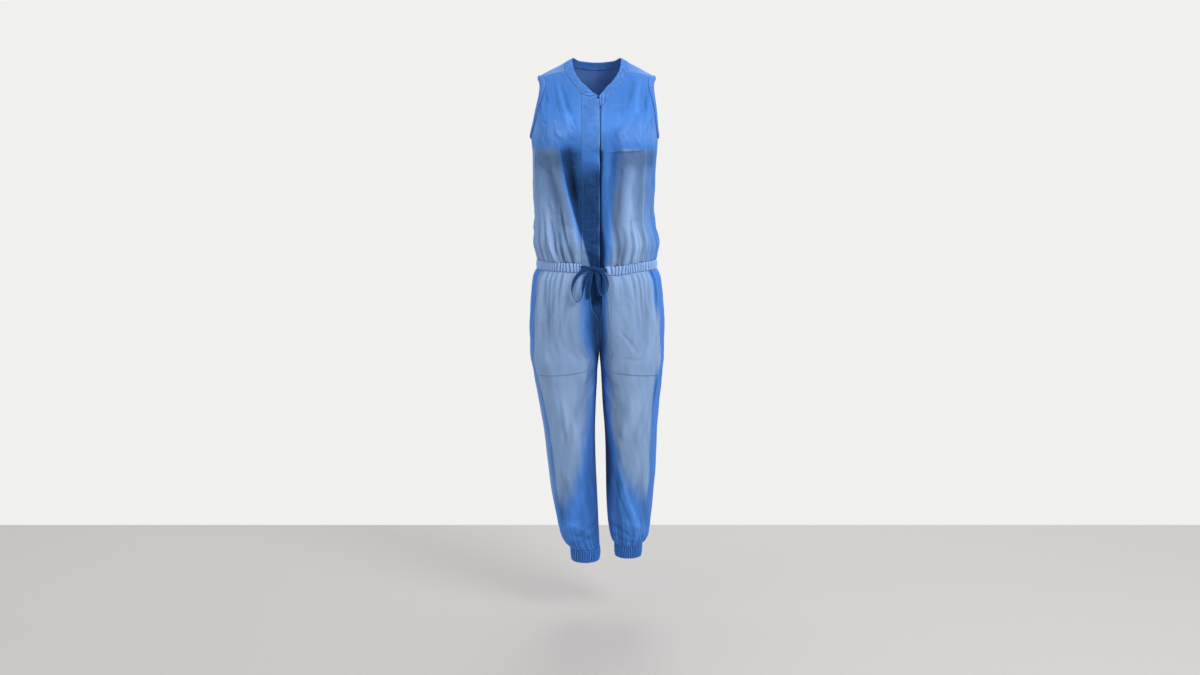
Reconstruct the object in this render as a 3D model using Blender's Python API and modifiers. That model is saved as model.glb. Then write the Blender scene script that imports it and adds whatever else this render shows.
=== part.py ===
"""Sleeveless chambray jumpsuit in its worn form.

Metres, +Z up. The front faces -Y and the wearer's left is +X. The origin is midway between the
two neck points, at the level where the yoke rests on the shoulders.

Every piece of cloth is an open surface of its outer side, worked out from the sections below, with
its wall made inward by Solidify. A turn is an angle about the body or a leg in degrees: 0 at the
front, 90 at the wearer's left side, 180 at the back.
"""

import math
from collections import namedtuple

import bpy
from mathutils import Matrix, Vector

NAME = "chambray_jumpsuit"
CLOTH = 0.0013  # wall of one layer
DOUBLE = 0.0024  # wall of a strip folded on itself
SEAM = 0.0004  # joint left between two pieces at a seam

# ---------------------------------------------------------------- body sections
# Half width and depths of the outer cloth, level by level. The square column is the power of the
# rounded section: 2 is an ellipse, more is squarer. Shift moves a section sideways.
Ring = namedtuple("Ring", "level shift half front back square")
TORSO = (
    Ring(0.040, 0.000, 0.154, 0.046, 0.060, 3.0),
    Ring(-0.050, 0.000, 0.163, 0.070, 0.078, 3.2),
    Ring(-0.100, 0.000, 0.167, 0.089, 0.092, 3.0),
    Ring(-0.160, -0.003, 0.174, 0.110, 0.101, 2.6),
    Ring(-0.205, -0.006, 0.175, 0.122, 0.103, 2.4),
    Ring(-0.250, -0.005, 0.171, 0.121, 0.101, 2.4),
    Ring(-0.340, -0.008, 0.169, 0.112, 0.094, 2.4),
    Ring(-0.440, -0.006, 0.166, 0.108, 0.091, 2.4),
    Ring(-0.500, -0.001, 0.175, 0.116, 0.101, 2.4),
    Ring(-0.535, 0.000, 0.167, 0.109, 0.094, 2.35),
    Ring(-0.549, 0.000, 0.165, 0.104, 0.089, 2.3),
    Ring(-0.573, 0.000, 0.166, 0.104, 0.089, 2.3),
    Ring(-0.600, 0.000, 0.177, 0.113, 0.100, 2.35),
    Ring(-0.650, 0.000, 0.184, 0.120, 0.114, 2.4),
    Ring(-0.720, 0.001, 0.190, 0.123, 0.125, 2.4),
    Ring(-0.790, 0.001, 0.191, 0.121, 0.126, 2.4),
    Ring(-0.860, 0.001, 0.188, 0.118, 0.120, 2.4),
)

# Height of the shoulder line over the level of the neck points, by distance from the middle.
Shoulder = namedtuple("Shoulder", "level height")
SHOULDER = (
    Shoulder(0.200, -0.072),
    Shoulder(0.165, -0.052),
    Shoulder(0.125, -0.030),
    Shoulder(0.090, -0.012),
    Shoulder(0.065, 0.002),
    Shoulder(0.030, 0.032),
    Shoulder(0.000, 0.046),
)
ARCH = -0.170  # level from which the body rounds over towards the shoulder line
ARCH_SQUARE = 2.2

# Each leg by where its sides are, inner and outer counted from the middle towards its own side.
# Seam is the turn of the outer seam, which lies well forward of the leg's side.
Leg = namedtuple("Leg", "level inner outer front back square seam")
LEFT_LEG = (
    Leg(-0.640, 0.0073, 0.184, 0.112, 0.106, 2.3, 64),
    Leg(-0.815, 0.0073, 0.190, 0.111, 0.112, 2.3, 60),
    Leg(-0.860, 0.0110, 0.186, 0.109, 0.107, 2.25, 57),
    Leg(-0.905, 0.0135, 0.183, 0.105, 0.101, 2.2, 53),
    Leg(-0.965, 0.0165, 0.177, 0.102, 0.092, 2.15, 48),
    Leg(-1.050, 0.0230, 0.172, 0.091, 0.082, 2.1, 46),
    Leg(-1.140, 0.0255, 0.169, 0.080, 0.077, 2.1, 46),
    Leg(-1.230, 0.0270, 0.162, 0.071, 0.073, 2.1, 46),
    Leg(-1.300, 0.0310, 0.155, 0.063, 0.069, 2.1, 46),
    Leg(-1.343, 0.0370, 0.150, 0.057, 0.065, 2.1, 46),
    Leg(-1.364, 0.0430, 0.141, 0.051, 0.058, 2.1, 46),
    Leg(-1.378, 0.0515, 0.131, 0.043, 0.048, 2.1, 46),
    Leg(-1.420, 0.0530, 0.129, 0.040, 0.044, 2.1, 46),
)
RIGHT_LEG = (
    Leg(-0.640, -0.0067, 0.184, 0.112, 0.106, 2.3, 64),
    Leg(-0.815, -0.0067, 0.188, 0.111, 0.112, 2.3, 60),
    Leg(-0.860, -0.0020, 0.181, 0.109, 0.107, 2.25, 57),
    Leg(-0.905, 0.0000, 0.173, 0.105, 0.101, 2.2, 53),
    Leg(-0.965, 0.0030, 0.163, 0.103, 0.092, 2.15, 48),
    Leg(-1.050, 0.0050, 0.150, 0.093, 0.082, 2.1, 46),
    Leg(-1.140, 0.0030, 0.140, 0.083, 0.077, 2.1, 46),
    Leg(-1.230, -0.0010, 0.129, 0.074, 0.073, 2.1, 46),
    Leg(-1.300, -0.0040, 0.115, 0.066, 0.069, 2.1, 46),
    Leg(-1.350, -0.0060, 0.104, 0.060, 0.065, 2.1, 46),
    Leg(-1.374, -0.0070, 0.091, 0.053, 0.057, 2.1, 46),
    Leg(-1.390, -0.0080, 0.077, 0.046, 0.047, 2.1, 46),
    Leg(-1.430, -0.0070, 0.074, 0.043, 0.043, 2.1, 46),
)
LEGS = {+1: LEFT_LEG, -1: RIGHT_LEG}
CENTRE = 0.0070  # where the crotch seam lies, a little to the wearer's left of the middle


def cubic(start, end, start_slope, end_slope, t):
    """A value eased from start to end, with the slope it has at each."""
    return (
        start * (2 * t**3 - 3 * t**2 + 1)
        + end * (3 * t**2 - 2 * t**3)
        + start_slope * (t**3 - 2 * t**2 + t)
        + end_slope * (t**3 - t**2)
    )


def at(table, level):
    """One row of a table at any level, eased between the rows about it."""
    level = min(max(level, table[-1].level), table[0].level)
    i = max(k for k in range(len(table) - 1) if table[k].level >= level)
    high, low = table[i], table[i + 1]
    above, below = table[max(i - 1, 0)], table[min(i + 2, len(table) - 1)]
    span = low.level - high.level
    t = (level - high.level) / span
    values = []
    for a, b, c, d in zip(above, high, low, below):
        high_slope = (c - a) / (low.level - above.level) * span
        low_slope = (d - b) / (below.level - high.level) * span
        values.append(cubic(b, c, high_slope, low_slope, t))
    return type(high)(*values)


def mix(a, b, t):
    return a + (b - a) * t


def powered(value, power):
    return math.copysign(abs(value) ** power, value)


def arch(x, level):
    """How much of its depth the body keeps at a level, falling to nothing on the shoulder line."""
    rise = max(level - ARCH, 0.0) / (at(SHOULDER, abs(x)).height - ARCH)
    return max(1.0 - min(rise, 1.0) ** ARCH_SQUARE, 0.0) ** (1 / ARCH_SQUARE)


def torso(turn, level):
    ring = at(TORSO, level)
    side = powered(math.sin(math.radians(turn)), 2 / ring.square)
    face = powered(math.cos(math.radians(turn)), 2 / ring.square)
    x = ring.half * side
    depth = ring.front if face > 0 else ring.back
    return (ring.shift + x, -depth * face * arch(x, level), level)


def turn_at(x, level, back=False):
    """The turn at which the body's front, or back, has this distance from the middle."""
    ring = at(TORSO, level)
    share = min(abs(x - ring.shift) / ring.half, 1.0) ** (ring.square / 2)
    turn = math.degrees(math.asin(share))
    return math.copysign(180 - turn if back else turn, x - ring.shift)


def leg(side, turn, level):
    row = at(LEGS[side], level)
    centre, half = (row.inner + row.outer) / 2, (row.outer - row.inner) / 2
    x = centre + half * powered(math.sin(math.radians(turn)), 2 / row.square)
    face = powered(math.cos(math.radians(turn)), 2 / row.square)
    return (side * x, -(row.front if face > 0 else row.back) * face, level)


# ---------------------------------------------------------------- folds
# A fold runs from its upper end to its lower end; depth is out for a ridge, in for a valley.
Fold = namedtuple("Fold", "upper_turn upper lower_turn lower width depth")
BODICE_FOLDS = (
    Fold(-54, -0.235, -14, -0.545, 6.0, 0.0080),
    Fold(-42, -0.245, -8, -0.545, 5.5, -0.0075),
    Fold(-58, -0.380, -24, -0.545, 5.5, -0.0060),
    Fold(-58, -0.440, -38, -0.545, 5.5, 0.0055),
    Fold(14, -0.200, 16, -0.540, 5.0, 0.0060),
    Fold(25, -0.260, 25, -0.545, 5.0, -0.0055),
    Fold(35, -0.300, 33, -0.545, 5.0, 0.0055),
    Fold(46, -0.240, 42, -0.545, 6.0, -0.0050),
    Fold(150, -0.150, 160, -0.540, 9.0, 0.0045),
    Fold(176, -0.130, 172, -0.540, 9.0, -0.0050),
    Fold(-150, -0.160, -158, -0.540, 9.0, 0.0050),
    Fold(110, -0.240, 128, -0.530, 10.0, -0.0050),
    Fold(-108, -0.250, -126, -0.530, 10.0, -0.0050),
)
TROUSER_FOLDS = (
    Fold(30, -0.600, 16, -0.780, 9.0, -0.0050),
    Fold(52, -0.590, 34, -0.720, 8.0, 0.0045),
    Fold(20, -0.860, -20, -1.100, 14.0, 0.0050),
    Fold(-60, -0.840, -10, -1.000, 14.0, -0.0050),
    Fold(-30, -1.180, 36, -1.360, 14.0, 0.0070),
    Fold(10, -1.160, 60, -1.320, 12.0, -0.0060),
    Fold(150, -0.600, 160, -0.760, 9.0, -0.0050),
    Fold(180, -0.880, 120, -1.040, 16.0, -0.0050),
    Fold(230, -1.080, 150, -1.180, 16.0, 0.0050),
    Fold(110, -1.240, 200, -1.350, 16.0, -0.0060),
)


def folded(folds, turn, level):
    """How far the folds move the cloth out at a place."""
    out = 0.0
    for fold in folds:
        along = (fold.upper - level) / (fold.upper - fold.lower)
        if 0.0 < along < 1.0:
            away = (turn - mix(fold.upper_turn, fold.lower_turn, along)) / fold.width
            out += fold.depth * math.exp(-away * away) * math.sin(math.pi * along) ** 0.5
    return out


def pushed(point, turn, out):
    return (
        point[0] + out * math.sin(math.radians(turn)),
        point[1] - out * math.cos(math.radians(turn)),
        point[2],
    )


# ---------------------------------------------------------------- making cloth
collection = bpy.data.collections.new(NAME)


def clear():
    for obj in list(bpy.data.objects):
        bpy.data.objects.remove(obj, do_unlink=True)
    bpy.context.scene.collection.children.link(collection)


def material(name, colour, roughness):
    made = bpy.data.materials.get(name) or bpy.data.materials.new(name)
    made.use_nodes = True
    shader = made.node_tree.nodes["Principled BSDF"]
    shader.inputs["Base Color"].default_value = (*colour, 1.0)
    shader.inputs["Roughness"].default_value = roughness
    shader.inputs["Metallic"].default_value = 0.0
    made.diffuse_color = (*colour, 1.0)
    return made


COLOURS = {
    "yoke": (0.16, 0.29, 0.56),
    "front": (0.13, 0.25, 0.47),
    "back": (0.11, 0.21, 0.40),
    "band": (0.12, 0.23, 0.46),
    "placket": (0.06, 0.13, 0.29),
    "trouser_front": (0.19, 0.30, 0.47),
    "trouser_back": (0.11, 0.20, 0.37),
    "pocket": (0.20, 0.31, 0.48),
    "cuff": (0.08, 0.16, 0.30),
    "tie": (0.05, 0.12, 0.28),
    "button": (0.05, 0.07, 0.12),
}


def keep(obj, colour):
    obj.data.materials.append(material(obj.name + "_cloth", COLOURS[colour], 0.85))
    collection.objects.link(obj)
    return obj


def cloth(name, rows, wall, colour, closed=False):
    """A piece from rows of outer points: rows go down, points go round with the turn."""
    across = len(rows[0])
    points = [point for row in rows for point in row]
    faces = []
    for r in range(len(rows) - 1):
        for c in range(across if closed else across - 1):
            d = (c + 1) % across
            faces.append((r * across + c, (r + 1) * across + c, (r + 1) * across + d, r * across + d))
    mesh = bpy.data.meshes.new(name)
    mesh.from_pydata(points, [], faces)
    mesh.update()
    piece = keep(bpy.data.objects.new(name, mesh), colour)
    piece.modifiers.new("wall", "SOLIDIFY").thickness = wall
    piece.modifiers["wall"].offset = -1.0
    return piece


# ---------------------------------------------------------------- armholes
# Seen from the side an armhole is an oval; the binding lies on the cloth round its edge.
ARMHOLE_LEVEL = -0.131
ARMHOLE_FRONT = 0.050
ARMHOLE_BACK = 0.056
ARMHOLE_HIGH = 0.075
ARMHOLE_SQUARE = 2.3
BINDING = 0.008


def beside(y, level):
    """Distance from the middle of the body's side at a depth and level."""
    ring = at(TORSO, level)
    depth = ring.front if y < 0 else ring.back
    near, far = 0.0, ring.half
    for _ in range(40):
        x = (near + far) / 2
        face = (1 - (x / ring.half) ** ring.square) ** (1 / ring.square)
        if depth * face * arch(x, level) > abs(y):
            near = x
        else:
            far = x
    return near


def armhole(clock, inset):
    """Turn and level on the armhole's oval, left side: clock is 0 at the bottom, 90 in front."""
    lie = math.radians(clock)
    wide = (ARMHOLE_FRONT if math.sin(lie) > 0 else ARMHOLE_BACK) + inset
    y = -wide * powered(math.sin(lie), 2 / ARMHOLE_SQUARE)
    level = ARMHOLE_LEVEL - (ARMHOLE_HIGH + inset) * powered(math.cos(lie), 2 / ARMHOLE_SQUARE)
    ring = at(TORSO, level)
    turn = math.degrees(math.asin(min(beside(y, level) / ring.half, 1.0) ** (ring.square / 2)))
    return (turn if y < 0 else 180 - turn), level


# ---------------------------------------------------------------- neck
# The neck opening and the outer edge of the flat band round it, by distance from the middle and
# level. Front stations run from the shoulder line down to the V, back ones up to it.
Neck = namedtuple("Neck", "inner inner_level outer outer_level")
NECK_BACK = (
    Neck(0.000, -0.010, 0.000, -0.031),
    Neck(0.020, -0.009, 0.026, -0.030),
    Neck(0.038, -0.007, 0.050, -0.026),
    Neck(0.054, -0.003, 0.071, -0.020),
)
NECK_TOP = (Neck(0.066, 0.002, 0.086, -0.009),)
NECK_FRONT = (
    Neck(0.0655, -0.012, 0.0880, -0.020),
    Neck(0.0620, -0.027, 0.0845, -0.034),
    Neck(0.0550, -0.043, 0.0760, -0.050),
    Neck(0.0420, -0.061, 0.0600, -0.071),
    Neck(0.0270, -0.075, 0.0430, -0.093),
)
NECK_END = {
    -1: (Neck(0.0120, -0.0885, 0.0200, -0.1010), Neck(-0.0030, -0.0985, 0.0010, -0.1060)),
    +1: (Neck(0.0150, -0.0900, 0.0280, -0.1100), Neck(0.0062, -0.0995, 0.0125, -0.1285)),
}
YOKE_FRONT = -0.034  # level at which the yoke's front seam leaves the neckband
YOKE_BACK = -0.118
YOKE_TIP = 164  # clock on the armhole at which the front seam ends
YOKE_CLOCKS = (164, 172, 180, 190, 204, 222, 240, 263)
FRONT_CLOCKS = (164, 150, 135, 120, 105, 90, 74, 56.5)
UNDER_CLOCKS = (56.5, 42, 28, 14, 0, -16, -32, -50, -68, -83, -96.6)
SIDE_SEAM = armhole(UNDER_CLOCKS[0], BINDING)[0]  # turn of the bodice's side seam, well forward


def lean_at(x, level, back):
    """Place over the shoulder: 0 on the shoulder line, -90 where the arch begins in front."""
    rise = (level - ARCH) / (at(SHOULDER, abs(x)).height - ARCH)
    lean = math.degrees(math.acos(min(max(rise, 0.0), 1.0) ** (ARCH_SQUARE / 2)))
    return lean if back else -lean


def over(x, lean):
    """Point of the body over the shoulders."""
    top = at(SHOULDER, abs(x)).height
    level = ARCH + (top - ARCH) * math.cos(math.radians(lean)) ** (2 / ARCH_SQUARE)
    ring = at(TORSO, level)
    face = (1 - min(abs(x) / ring.half, 1.0) ** ring.square) ** (1 / ring.square)
    depth = ring.front if lean < 0 else ring.back
    y = depth * face * powered(math.sin(math.radians(lean)), 2 / ARCH_SQUARE)
    return (ring.shift + x, y, level)


def along(rows, place):
    """Straight between (key, value) rows, whose keys fall."""
    for high, low in zip(rows, rows[1:]):
        if place >= low[0]:
            return mix(high[1], low[1], min(max((high[0] - place) / (high[0] - low[0]), 0.0), 1.0))
    return rows[-1][1]


def neck_half(side):
    """Inner and outer places over the shoulder, from one end of the band to the back's middle."""
    places = []
    for rows, back in (
        (NECK_END[side][::-1] + NECK_FRONT[::-1], False),
        (NECK_TOP + NECK_BACK[::-1], True),
    ):
        for n in rows:
            inner = (n.inner, lean_at(n.inner, n.inner_level, back))
            places.append((inner, (n.outer, lean_at(n.outer, n.outer_level, back))))
    smooth = []
    for i, place in enumerate(places[:-1]):
        smooth.append(place)
        around = places[max(i - 1, 0)], place, places[i + 1], places[min(i + 2, len(places) - 1)]
        smooth.append(tuple(
            tuple((9 * (b[e][k] + c[e][k]) - a[e][k] - d[e][k]) / 16 for k in (0, 1))
            for e in (0, 1)
            for a, b, c, d in (around,)
        ))
    return smooth + [places[-1]]


def neckband():
    """A flat band round the neck, open at the front, where its left end hangs lower."""
    rows = []
    for share in (0.0, 0.5, 1.0):
        left, right = (
            [over(side * mix(a[0], b[0], share), mix(a[1], b[1], share)) for a, b in neck_half(side)]
            for side in (+1, -1)
        )
        rows.append(left + right[-2::-1])
    return cloth("neckband", rows, DOUBLE, "band")


def band_edge(side):
    """The band's outer edge in front, as (level, distance from the middle) rows from the top."""
    edge = [(over(outer[0], outer[1])[2], outer[0]) for _, outer in neck_half(side) if outer[1] < 0]
    return edge[::-1]


# ---------------------------------------------------------------- yoke
def armhole_place(clock):
    """A clock on the armhole's seam as a place over the shoulder."""
    turn, level = armhole(clock, BINDING)
    ring = at(TORSO, level)
    x = ring.half * powered(math.sin(math.radians(turn)), 2 / ring.square)
    return (x, lean_at(x, level, turn > 90))


def front_seam(share):
    """The seam in front of the shoulder, from the neckband out to the armhole."""
    edge = along([(level, x) for level, x in band_edge(+1)], YOKE_FRONT)
    start, end = (edge, lean_at(edge, YOKE_FRONT, False)), armhole_place(YOKE_TIP)
    return (mix(start[0], end[0], share), mix(start[1], end[1], share))


def yoke():
    """Over both shoulders: from the seams in front of the shoulder line to the one on the back."""
    neck = [outer for _, outer in neck_half(+1) if over(*outer)[2] > YOKE_FRONT or outer[1] > 0]
    neck = [front_seam(0.0)] + neck
    wing = len(YOKE_CLOCKS) - 1
    corner = armhole_place(YOKE_CLOCKS[-1])
    columns = []
    for step, inner in enumerate(neck):
        if step <= wing:
            outer = armhole_place(YOKE_CLOCKS[step])
        else:
            x = corner[0] * (len(neck) - 1 - step) / (len(neck) - 1 - wing)
            outer = (x, lean_at(x, YOKE_BACK, True))
        columns.append((inner, outer))
    rows = []
    for share in (0.006, 0.18, 0.4, 0.65, 0.85, 1.0):
        left = [over(mix(a[0], b[0], share), mix(a[1], b[1], share)) for a, b in columns]
        rows.append(left + [(-x, y, z) for x, y, z in left[-2::-1]])
    return cloth("yoke", rows, CLOTH, "yoke")


def binding(side, name):
    """A strip folded over the armhole's edge, all the way round inside the seam."""
    rows = []
    for inset in (0.0, BINDING - 2 * SEAM):
        row = []
        for clock in UNDER_CLOCKS[:-1] + YOKE_CLOCKS[::-1][:-1] + FRONT_CLOCKS[:-1]:
            turn, level = armhole(clock, inset)
            row.append(pushed(torso(side * turn, level), side * turn, 0.0004))
        rows.append(row if side > 0 else row[::-1])
    return cloth(name, rows, DOUBLE, "band", closed=True)


# ---------------------------------------------------------------- bodice
PLACKET_LEFT = 0.0080  # edge of the over placket, past the middle of the front
FRONT_EDGE = {-1: 0.0410, +1: 0.0120}  # where each front meets or disappears under its placket
WAIST_TOP = -0.5495
WAIST_LOW = -0.5730
BODICE_LEVELS = (-0.240, -0.285, -0.335, -0.390, -0.440, -0.480, -0.508, -0.530, WAIST_TOP)
BODICE_SHARES = (1.0, 0.9, 0.75, 0.6, 0.44, 0.24)
GATHER = 0.0022


def free(turn):
    """Folds and gathers leave the flat band at the centre front alone."""
    return min(max((abs((turn + 180) % 360 - 180) - 13) / 8, 0.0), 1.0)


def sag(turn, level):
    """The tie pulls the waist down a little on the wearer's left of the middle."""
    away = (turn - 14) / 20
    return -0.009 * math.exp(-away * away) * math.exp(-(((level + 0.560) / 0.060) ** 2))


def bodice(turn, level, ripple):
    bent = (turn + 180) % 360 - 180
    out = folded(BODICE_FOLDS, bent, level) * free(turn)
    out += GATHER * ripple * free(turn) * math.exp(-(level - WAIST_TOP) / 0.030)
    x, y, z = pushed(torso(turn, level), turn, out)
    return (x, y, z + sag(bent, level))


def zig(index, count):
    """Gathers: one column out, the next in, flat beside both edges of the piece."""
    return 0.0 if index < 2 or index > count - 2 else (-1.0) ** index


def joint(radius):
    """Turn taken off each side of a seam that runs down the body at a distance from its middle."""
    return math.degrees((SEAM / 2 + 0.0001) / radius)


def front(side, name):
    count = 14
    hem = BODICE_LEVELS[0]
    seam = [front_seam(c / count) for c in range(count + 1)]
    tops = [over(*place)[2] - SEAM for place in seam]
    turns = [turn_at(x, level) for (x, _), level in zip(seam, tops)]
    tip_turn, tip_level = armhole(YOKE_TIP, BINDING)

    def start(level):
        inner = max(along(band_edge(side), level + 0.0012) + 0.0012, FRONT_EDGE[side])
        return side * turn_at(side * inner, level)

    edge = [armhole(clock, BINDING) for clock in FRONT_CLOCKS]
    edge += [(SIDE_SEAM - joint(0.17), -0.210)]
    rows = []
    for end, edge_level in edge:
        share = (edge_level - hem) / (tip_level - hem)
        row = []
        for c in range(count + 1):
            level = mix(hem, tops[c], share)
            turn = mix(start(level), end, c / count)
            turn += share**3 * (turns[c] - mix(start(tops[c]), tip_turn, c / count))
            row.append(bodice(side * turn, level, zig(c, count)))
        rows.append(row)
    for level in BODICE_LEVELS:
        turns_here = [mix(start(level), SIDE_SEAM - joint(0.17), c / count) for c in range(count + 1)]
        rows.append([bodice(side * turn, level, zig(c, count)) for c, turn in enumerate(turns_here)])
    return cloth(name, rows if side > 0 else [row[::-1] for row in rows], CLOTH, "front")


def back():
    """The back wraps forward under the arms to the side seams."""
    count = 32
    tops = [armhole(clock, BINDING) for clock in UNDER_CLOCKS]
    corner = torso(*tops[-1])[0]
    for c in range(len(tops), count // 2 + 1):
        x = corner * (count // 2 - c) / (count // 2 - len(UNDER_CLOCKS) + 1)
        tops.append((turn_at(x, YOKE_BACK - SEAM, back=True), YOKE_BACK - SEAM))
    tops += [(360 - turn, level) for turn, level in tops[-2::-1]]
    rows = []
    for share in BODICE_SHARES + BODICE_LEVELS:
        row = []
        for c, (top_turn, top_level) in enumerate(tops):
            turn = mix(SIDE_SEAM + joint(0.17), 360 - SIDE_SEAM - joint(0.17), c / count)
            level = share
            if share > 0:
                level = mix(BODICE_LEVELS[0], top_level, share)
                if 0 < c < count:
                    turn = mix(turn, top_turn, share * share)
                else:
                    turn += math.copysign(0.2, 180 - turn)
            row.append(bodice(turn, level, zig(c, count)))
        rows.append(row)
    return cloth("back_bodice", rows, CLOTH, "back")


PLACKET_ACROSS = (-FRONT_EDGE[-1] + 2 * SEAM, -0.025, -0.008, PLACKET_LEFT)
UNDER_ACROSS = (-0.0320, -0.0150, 0.0030, 0.0215)
UNDER_TOP = (-0.132, -0.165, -0.200)
UNDER_LOW = (-0.575, -0.600, -0.645, -0.690)


def lying(x, level, out):
    """A point of a strip that lies along the middle of the front."""
    turn = turn_at(x, level)
    px, py, pz = pushed(torso(turn, level), turn, out)
    return (px, py, pz + sag(turn, level))


def placket_over():
    """The fly front on the wearer's right, which hides the buttons; its left edge is free."""
    edge = [(0.010, -0.1095)] + [(-x, level) for level, x in band_edge(-1)[::-1]]
    tops = [along(edge, x) - 2 * SEAM for x in PLACKET_ACROSS]
    rows = []
    for share in (1.0, 0.8, 0.55, 0.25):
        levels = [mix(BODICE_LEVELS[0], top, share) for top in tops]
        rows.append([lying(x, level, 0.0006) for x, level in zip(PLACKET_ACROSS, levels)])
    for level in BODICE_LEVELS + (WAIST_LOW,):
        rows.append([lying(x, level, 0.0006) for x in PLACKET_ACROSS])
    return cloth("placket_over", rows, DOUBLE, "placket")


def placket_under():
    """The button strip beneath, which runs on below the waist as the fly's underlap."""
    levels = UNDER_TOP + BODICE_LEVELS + UNDER_LOW
    rows = [[lying(x, level, -0.0034) for x in UNDER_ACROSS] for level in levels]
    return cloth("placket_under", rows, DOUBLE, "placket")


# ---------------------------------------------------------------- waist casing
def casing(side, name):
    """The channel that carries the tie, gathered: half of the waist, from the placket to the back."""
    count = 40
    rows = []
    start = abs(turn_at(0.0225, WAIST_TOP)) if side > 0 else abs(turn_at(-0.0410 - SEAM, WAIST_TOP))
    for share, out in ((0.0, 0.0004), (0.5, 0.0030), (1.0, 0.0004)):
        level = mix(WAIST_TOP - SEAM, WAIST_LOW + SEAM, share)
        row = []
        for c in range(count + 1):
            turn = side * mix(start, 179.93, c / count)
            x, y, z = pushed(torso(turn, level), turn, out + 0.0009 * zig(c, count))
            row.append((x, y, z + sag(turn, level)))
        rows.append(row if side > 0 else row[::-1])
    return cloth(name, rows, DOUBLE, "band")


# ---------------------------------------------------------------- trousers
# Levels of a row at its inner and outer edge, and how far it has turned from hips to a single leg.
Row = namedtuple("Row", "inner outer leg")
TROUSER_ROWS = (
    Row(WAIST_LOW - 0.0003, WAIST_LOW - 0.0003, 0.00),
    Row(-0.587, -0.587, 0.00),
    Row(-0.606, -0.606, 0.00),
    Row(-0.635, -0.635, 0.00),
    Row(-0.668, -0.668, 0.00),
    Row(-0.703, -0.700, 0.00),
    Row(-0.737, -0.730, 0.06),
    Row(-0.770, -0.758, 0.20),
    Row(-0.796, -0.786, 0.46),
    Row(-0.811, -0.812, 0.76),
    Row(-0.816, -0.838, 1.00),
    Row(-0.845, -0.868, 1.00),
    Row(-0.895, -0.912, 1.00),
    Row(-0.965, -0.970, 1.00),
    Row(-1.040, -1.040, 1.00),
    Row(-1.110, -1.110, 1.00),
    Row(-1.180, -1.180, 1.00),
    Row(-1.240, -1.240, 1.00),
    Row(-1.290, -1.290, 1.00),
    Row(-1.330, -1.330, 1.00),
    Row(-1.357, -1.357, 1.00),
)
CUFF_TOP = {+1: -1.3780, -1: -1.3900}
CUFF_LOW = {+1: -1.4150, -1: -1.4275}
TROUSER_SEAM = 64  # turn of the side seam about the hips
# The fly stands open over its underlap: distance of each front's edge to the wearer's left.
FLY = {
    -1: [(WAIST_LOW, -0.0240), (-0.640, -0.0160), (-0.690, -0.0090), (-0.703, CENTRE - SEAM / 2)],
    +1: [(WAIST_LOW, 0.0140), (-0.690, 0.0140), (-0.703, CENTRE + SEAM / 2)],
}
PATCH_COLUMN = 4
PATCH_ROW = 11


def trouser(side, hip_turn, leg_turn, level, leg_share, ripple):
    away = mix(hip_turn, leg_turn, leg_share)
    hip = torso(side * hip_turn, level)
    below = leg(side, leg_turn, level)
    point = tuple(mix(a, b, leg_share) for a, b in zip(hip, below))
    out = folded(TROUSER_FOLDS, leg_turn, level)
    out += GATHER * ripple * free(hip_turn) * math.exp((level - WAIST_LOW) / 0.040)
    out += GATHER * ripple * math.exp((CUFF_TOP[side] - level) / 0.020)
    x, y, z = pushed(point, side * away, out)
    return (x, y, z + sag(side * hip_turn, level))


def trouser_rows(side, fronts):
    """Outer points of one trouser panel, from its inner seam to the side seam or on round the back."""
    rows = []
    count = 14 if fronts else 16
    for row in TROUSER_ROWS + (Row(CUFF_TOP[side], CUFF_TOP[side], 1.0),):
        points = []
        for c in range(count + 1):
            level = mix(row.inner, row.outer, c / count if fronts else 1 - c / count)
            row_here = at(LEGS[side], level)
            seam = row_here.seam
            gap = joint(min((row_here.outer - row_here.inner) / 2, 0.1))
            inseam = 90 - 0.1 - 1.2 * (gap - joint(0.1))
            if fronts:
                edge = side * turn_at(along(FLY[side], level), level)
                if c <= PATCH_COLUMN:
                    share = c / PATCH_COLUMN
                    hip_turn, leg_turn = mix(edge, 8.5, share), mix(-inseam, -47, share)
                else:
                    share = (c - PATCH_COLUMN) / (count - PATCH_COLUMN)
                    hip_turn = mix(8.5, TROUSER_SEAM - joint(0.17), share)
                    leg_turn = mix(-47, seam - gap, share)
            else:
                edge = (side * turn_at(CENTRE + side * SEAM / 2, level, back=True)) % 360
                hip_turn = mix(TROUSER_SEAM + joint(0.17), edge, c / count)
                leg_turn = mix(seam + gap, 180 + inseam, c / count)
            points.append(trouser(side, hip_turn, leg_turn, level, row.leg, zig(c, count)))
        rows.append(points)
    return rows


def trouser_front(side, name):
    rows = trouser_rows(side, True)
    return cloth(name, rows if side > 0 else [row[::-1] for row in rows], CLOTH, "trouser_front")


def trouser_back(side, name):
    rows = trouser_rows(side, False)
    return cloth(name, rows if side > 0 else [row[::-1] for row in rows], CLOTH, "trouser_back")


def raised(rows, out):
    """The same points moved out along the cloth's own normals."""
    moved = []
    for r, row in enumerate(rows):
        line = []
        for c, point in enumerate(row):
            down = Vector(rows[min(r + 1, len(rows) - 1)][c]) - Vector(rows[max(r - 1, 0)][c])
            across = Vector(row[min(c + 1, len(row) - 1)]) - Vector(row[max(c - 1, 0)])
            line.append(tuple(Vector(point) + out * down.cross(across).normalized()))
        moved.append(line)
    return moved


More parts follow.
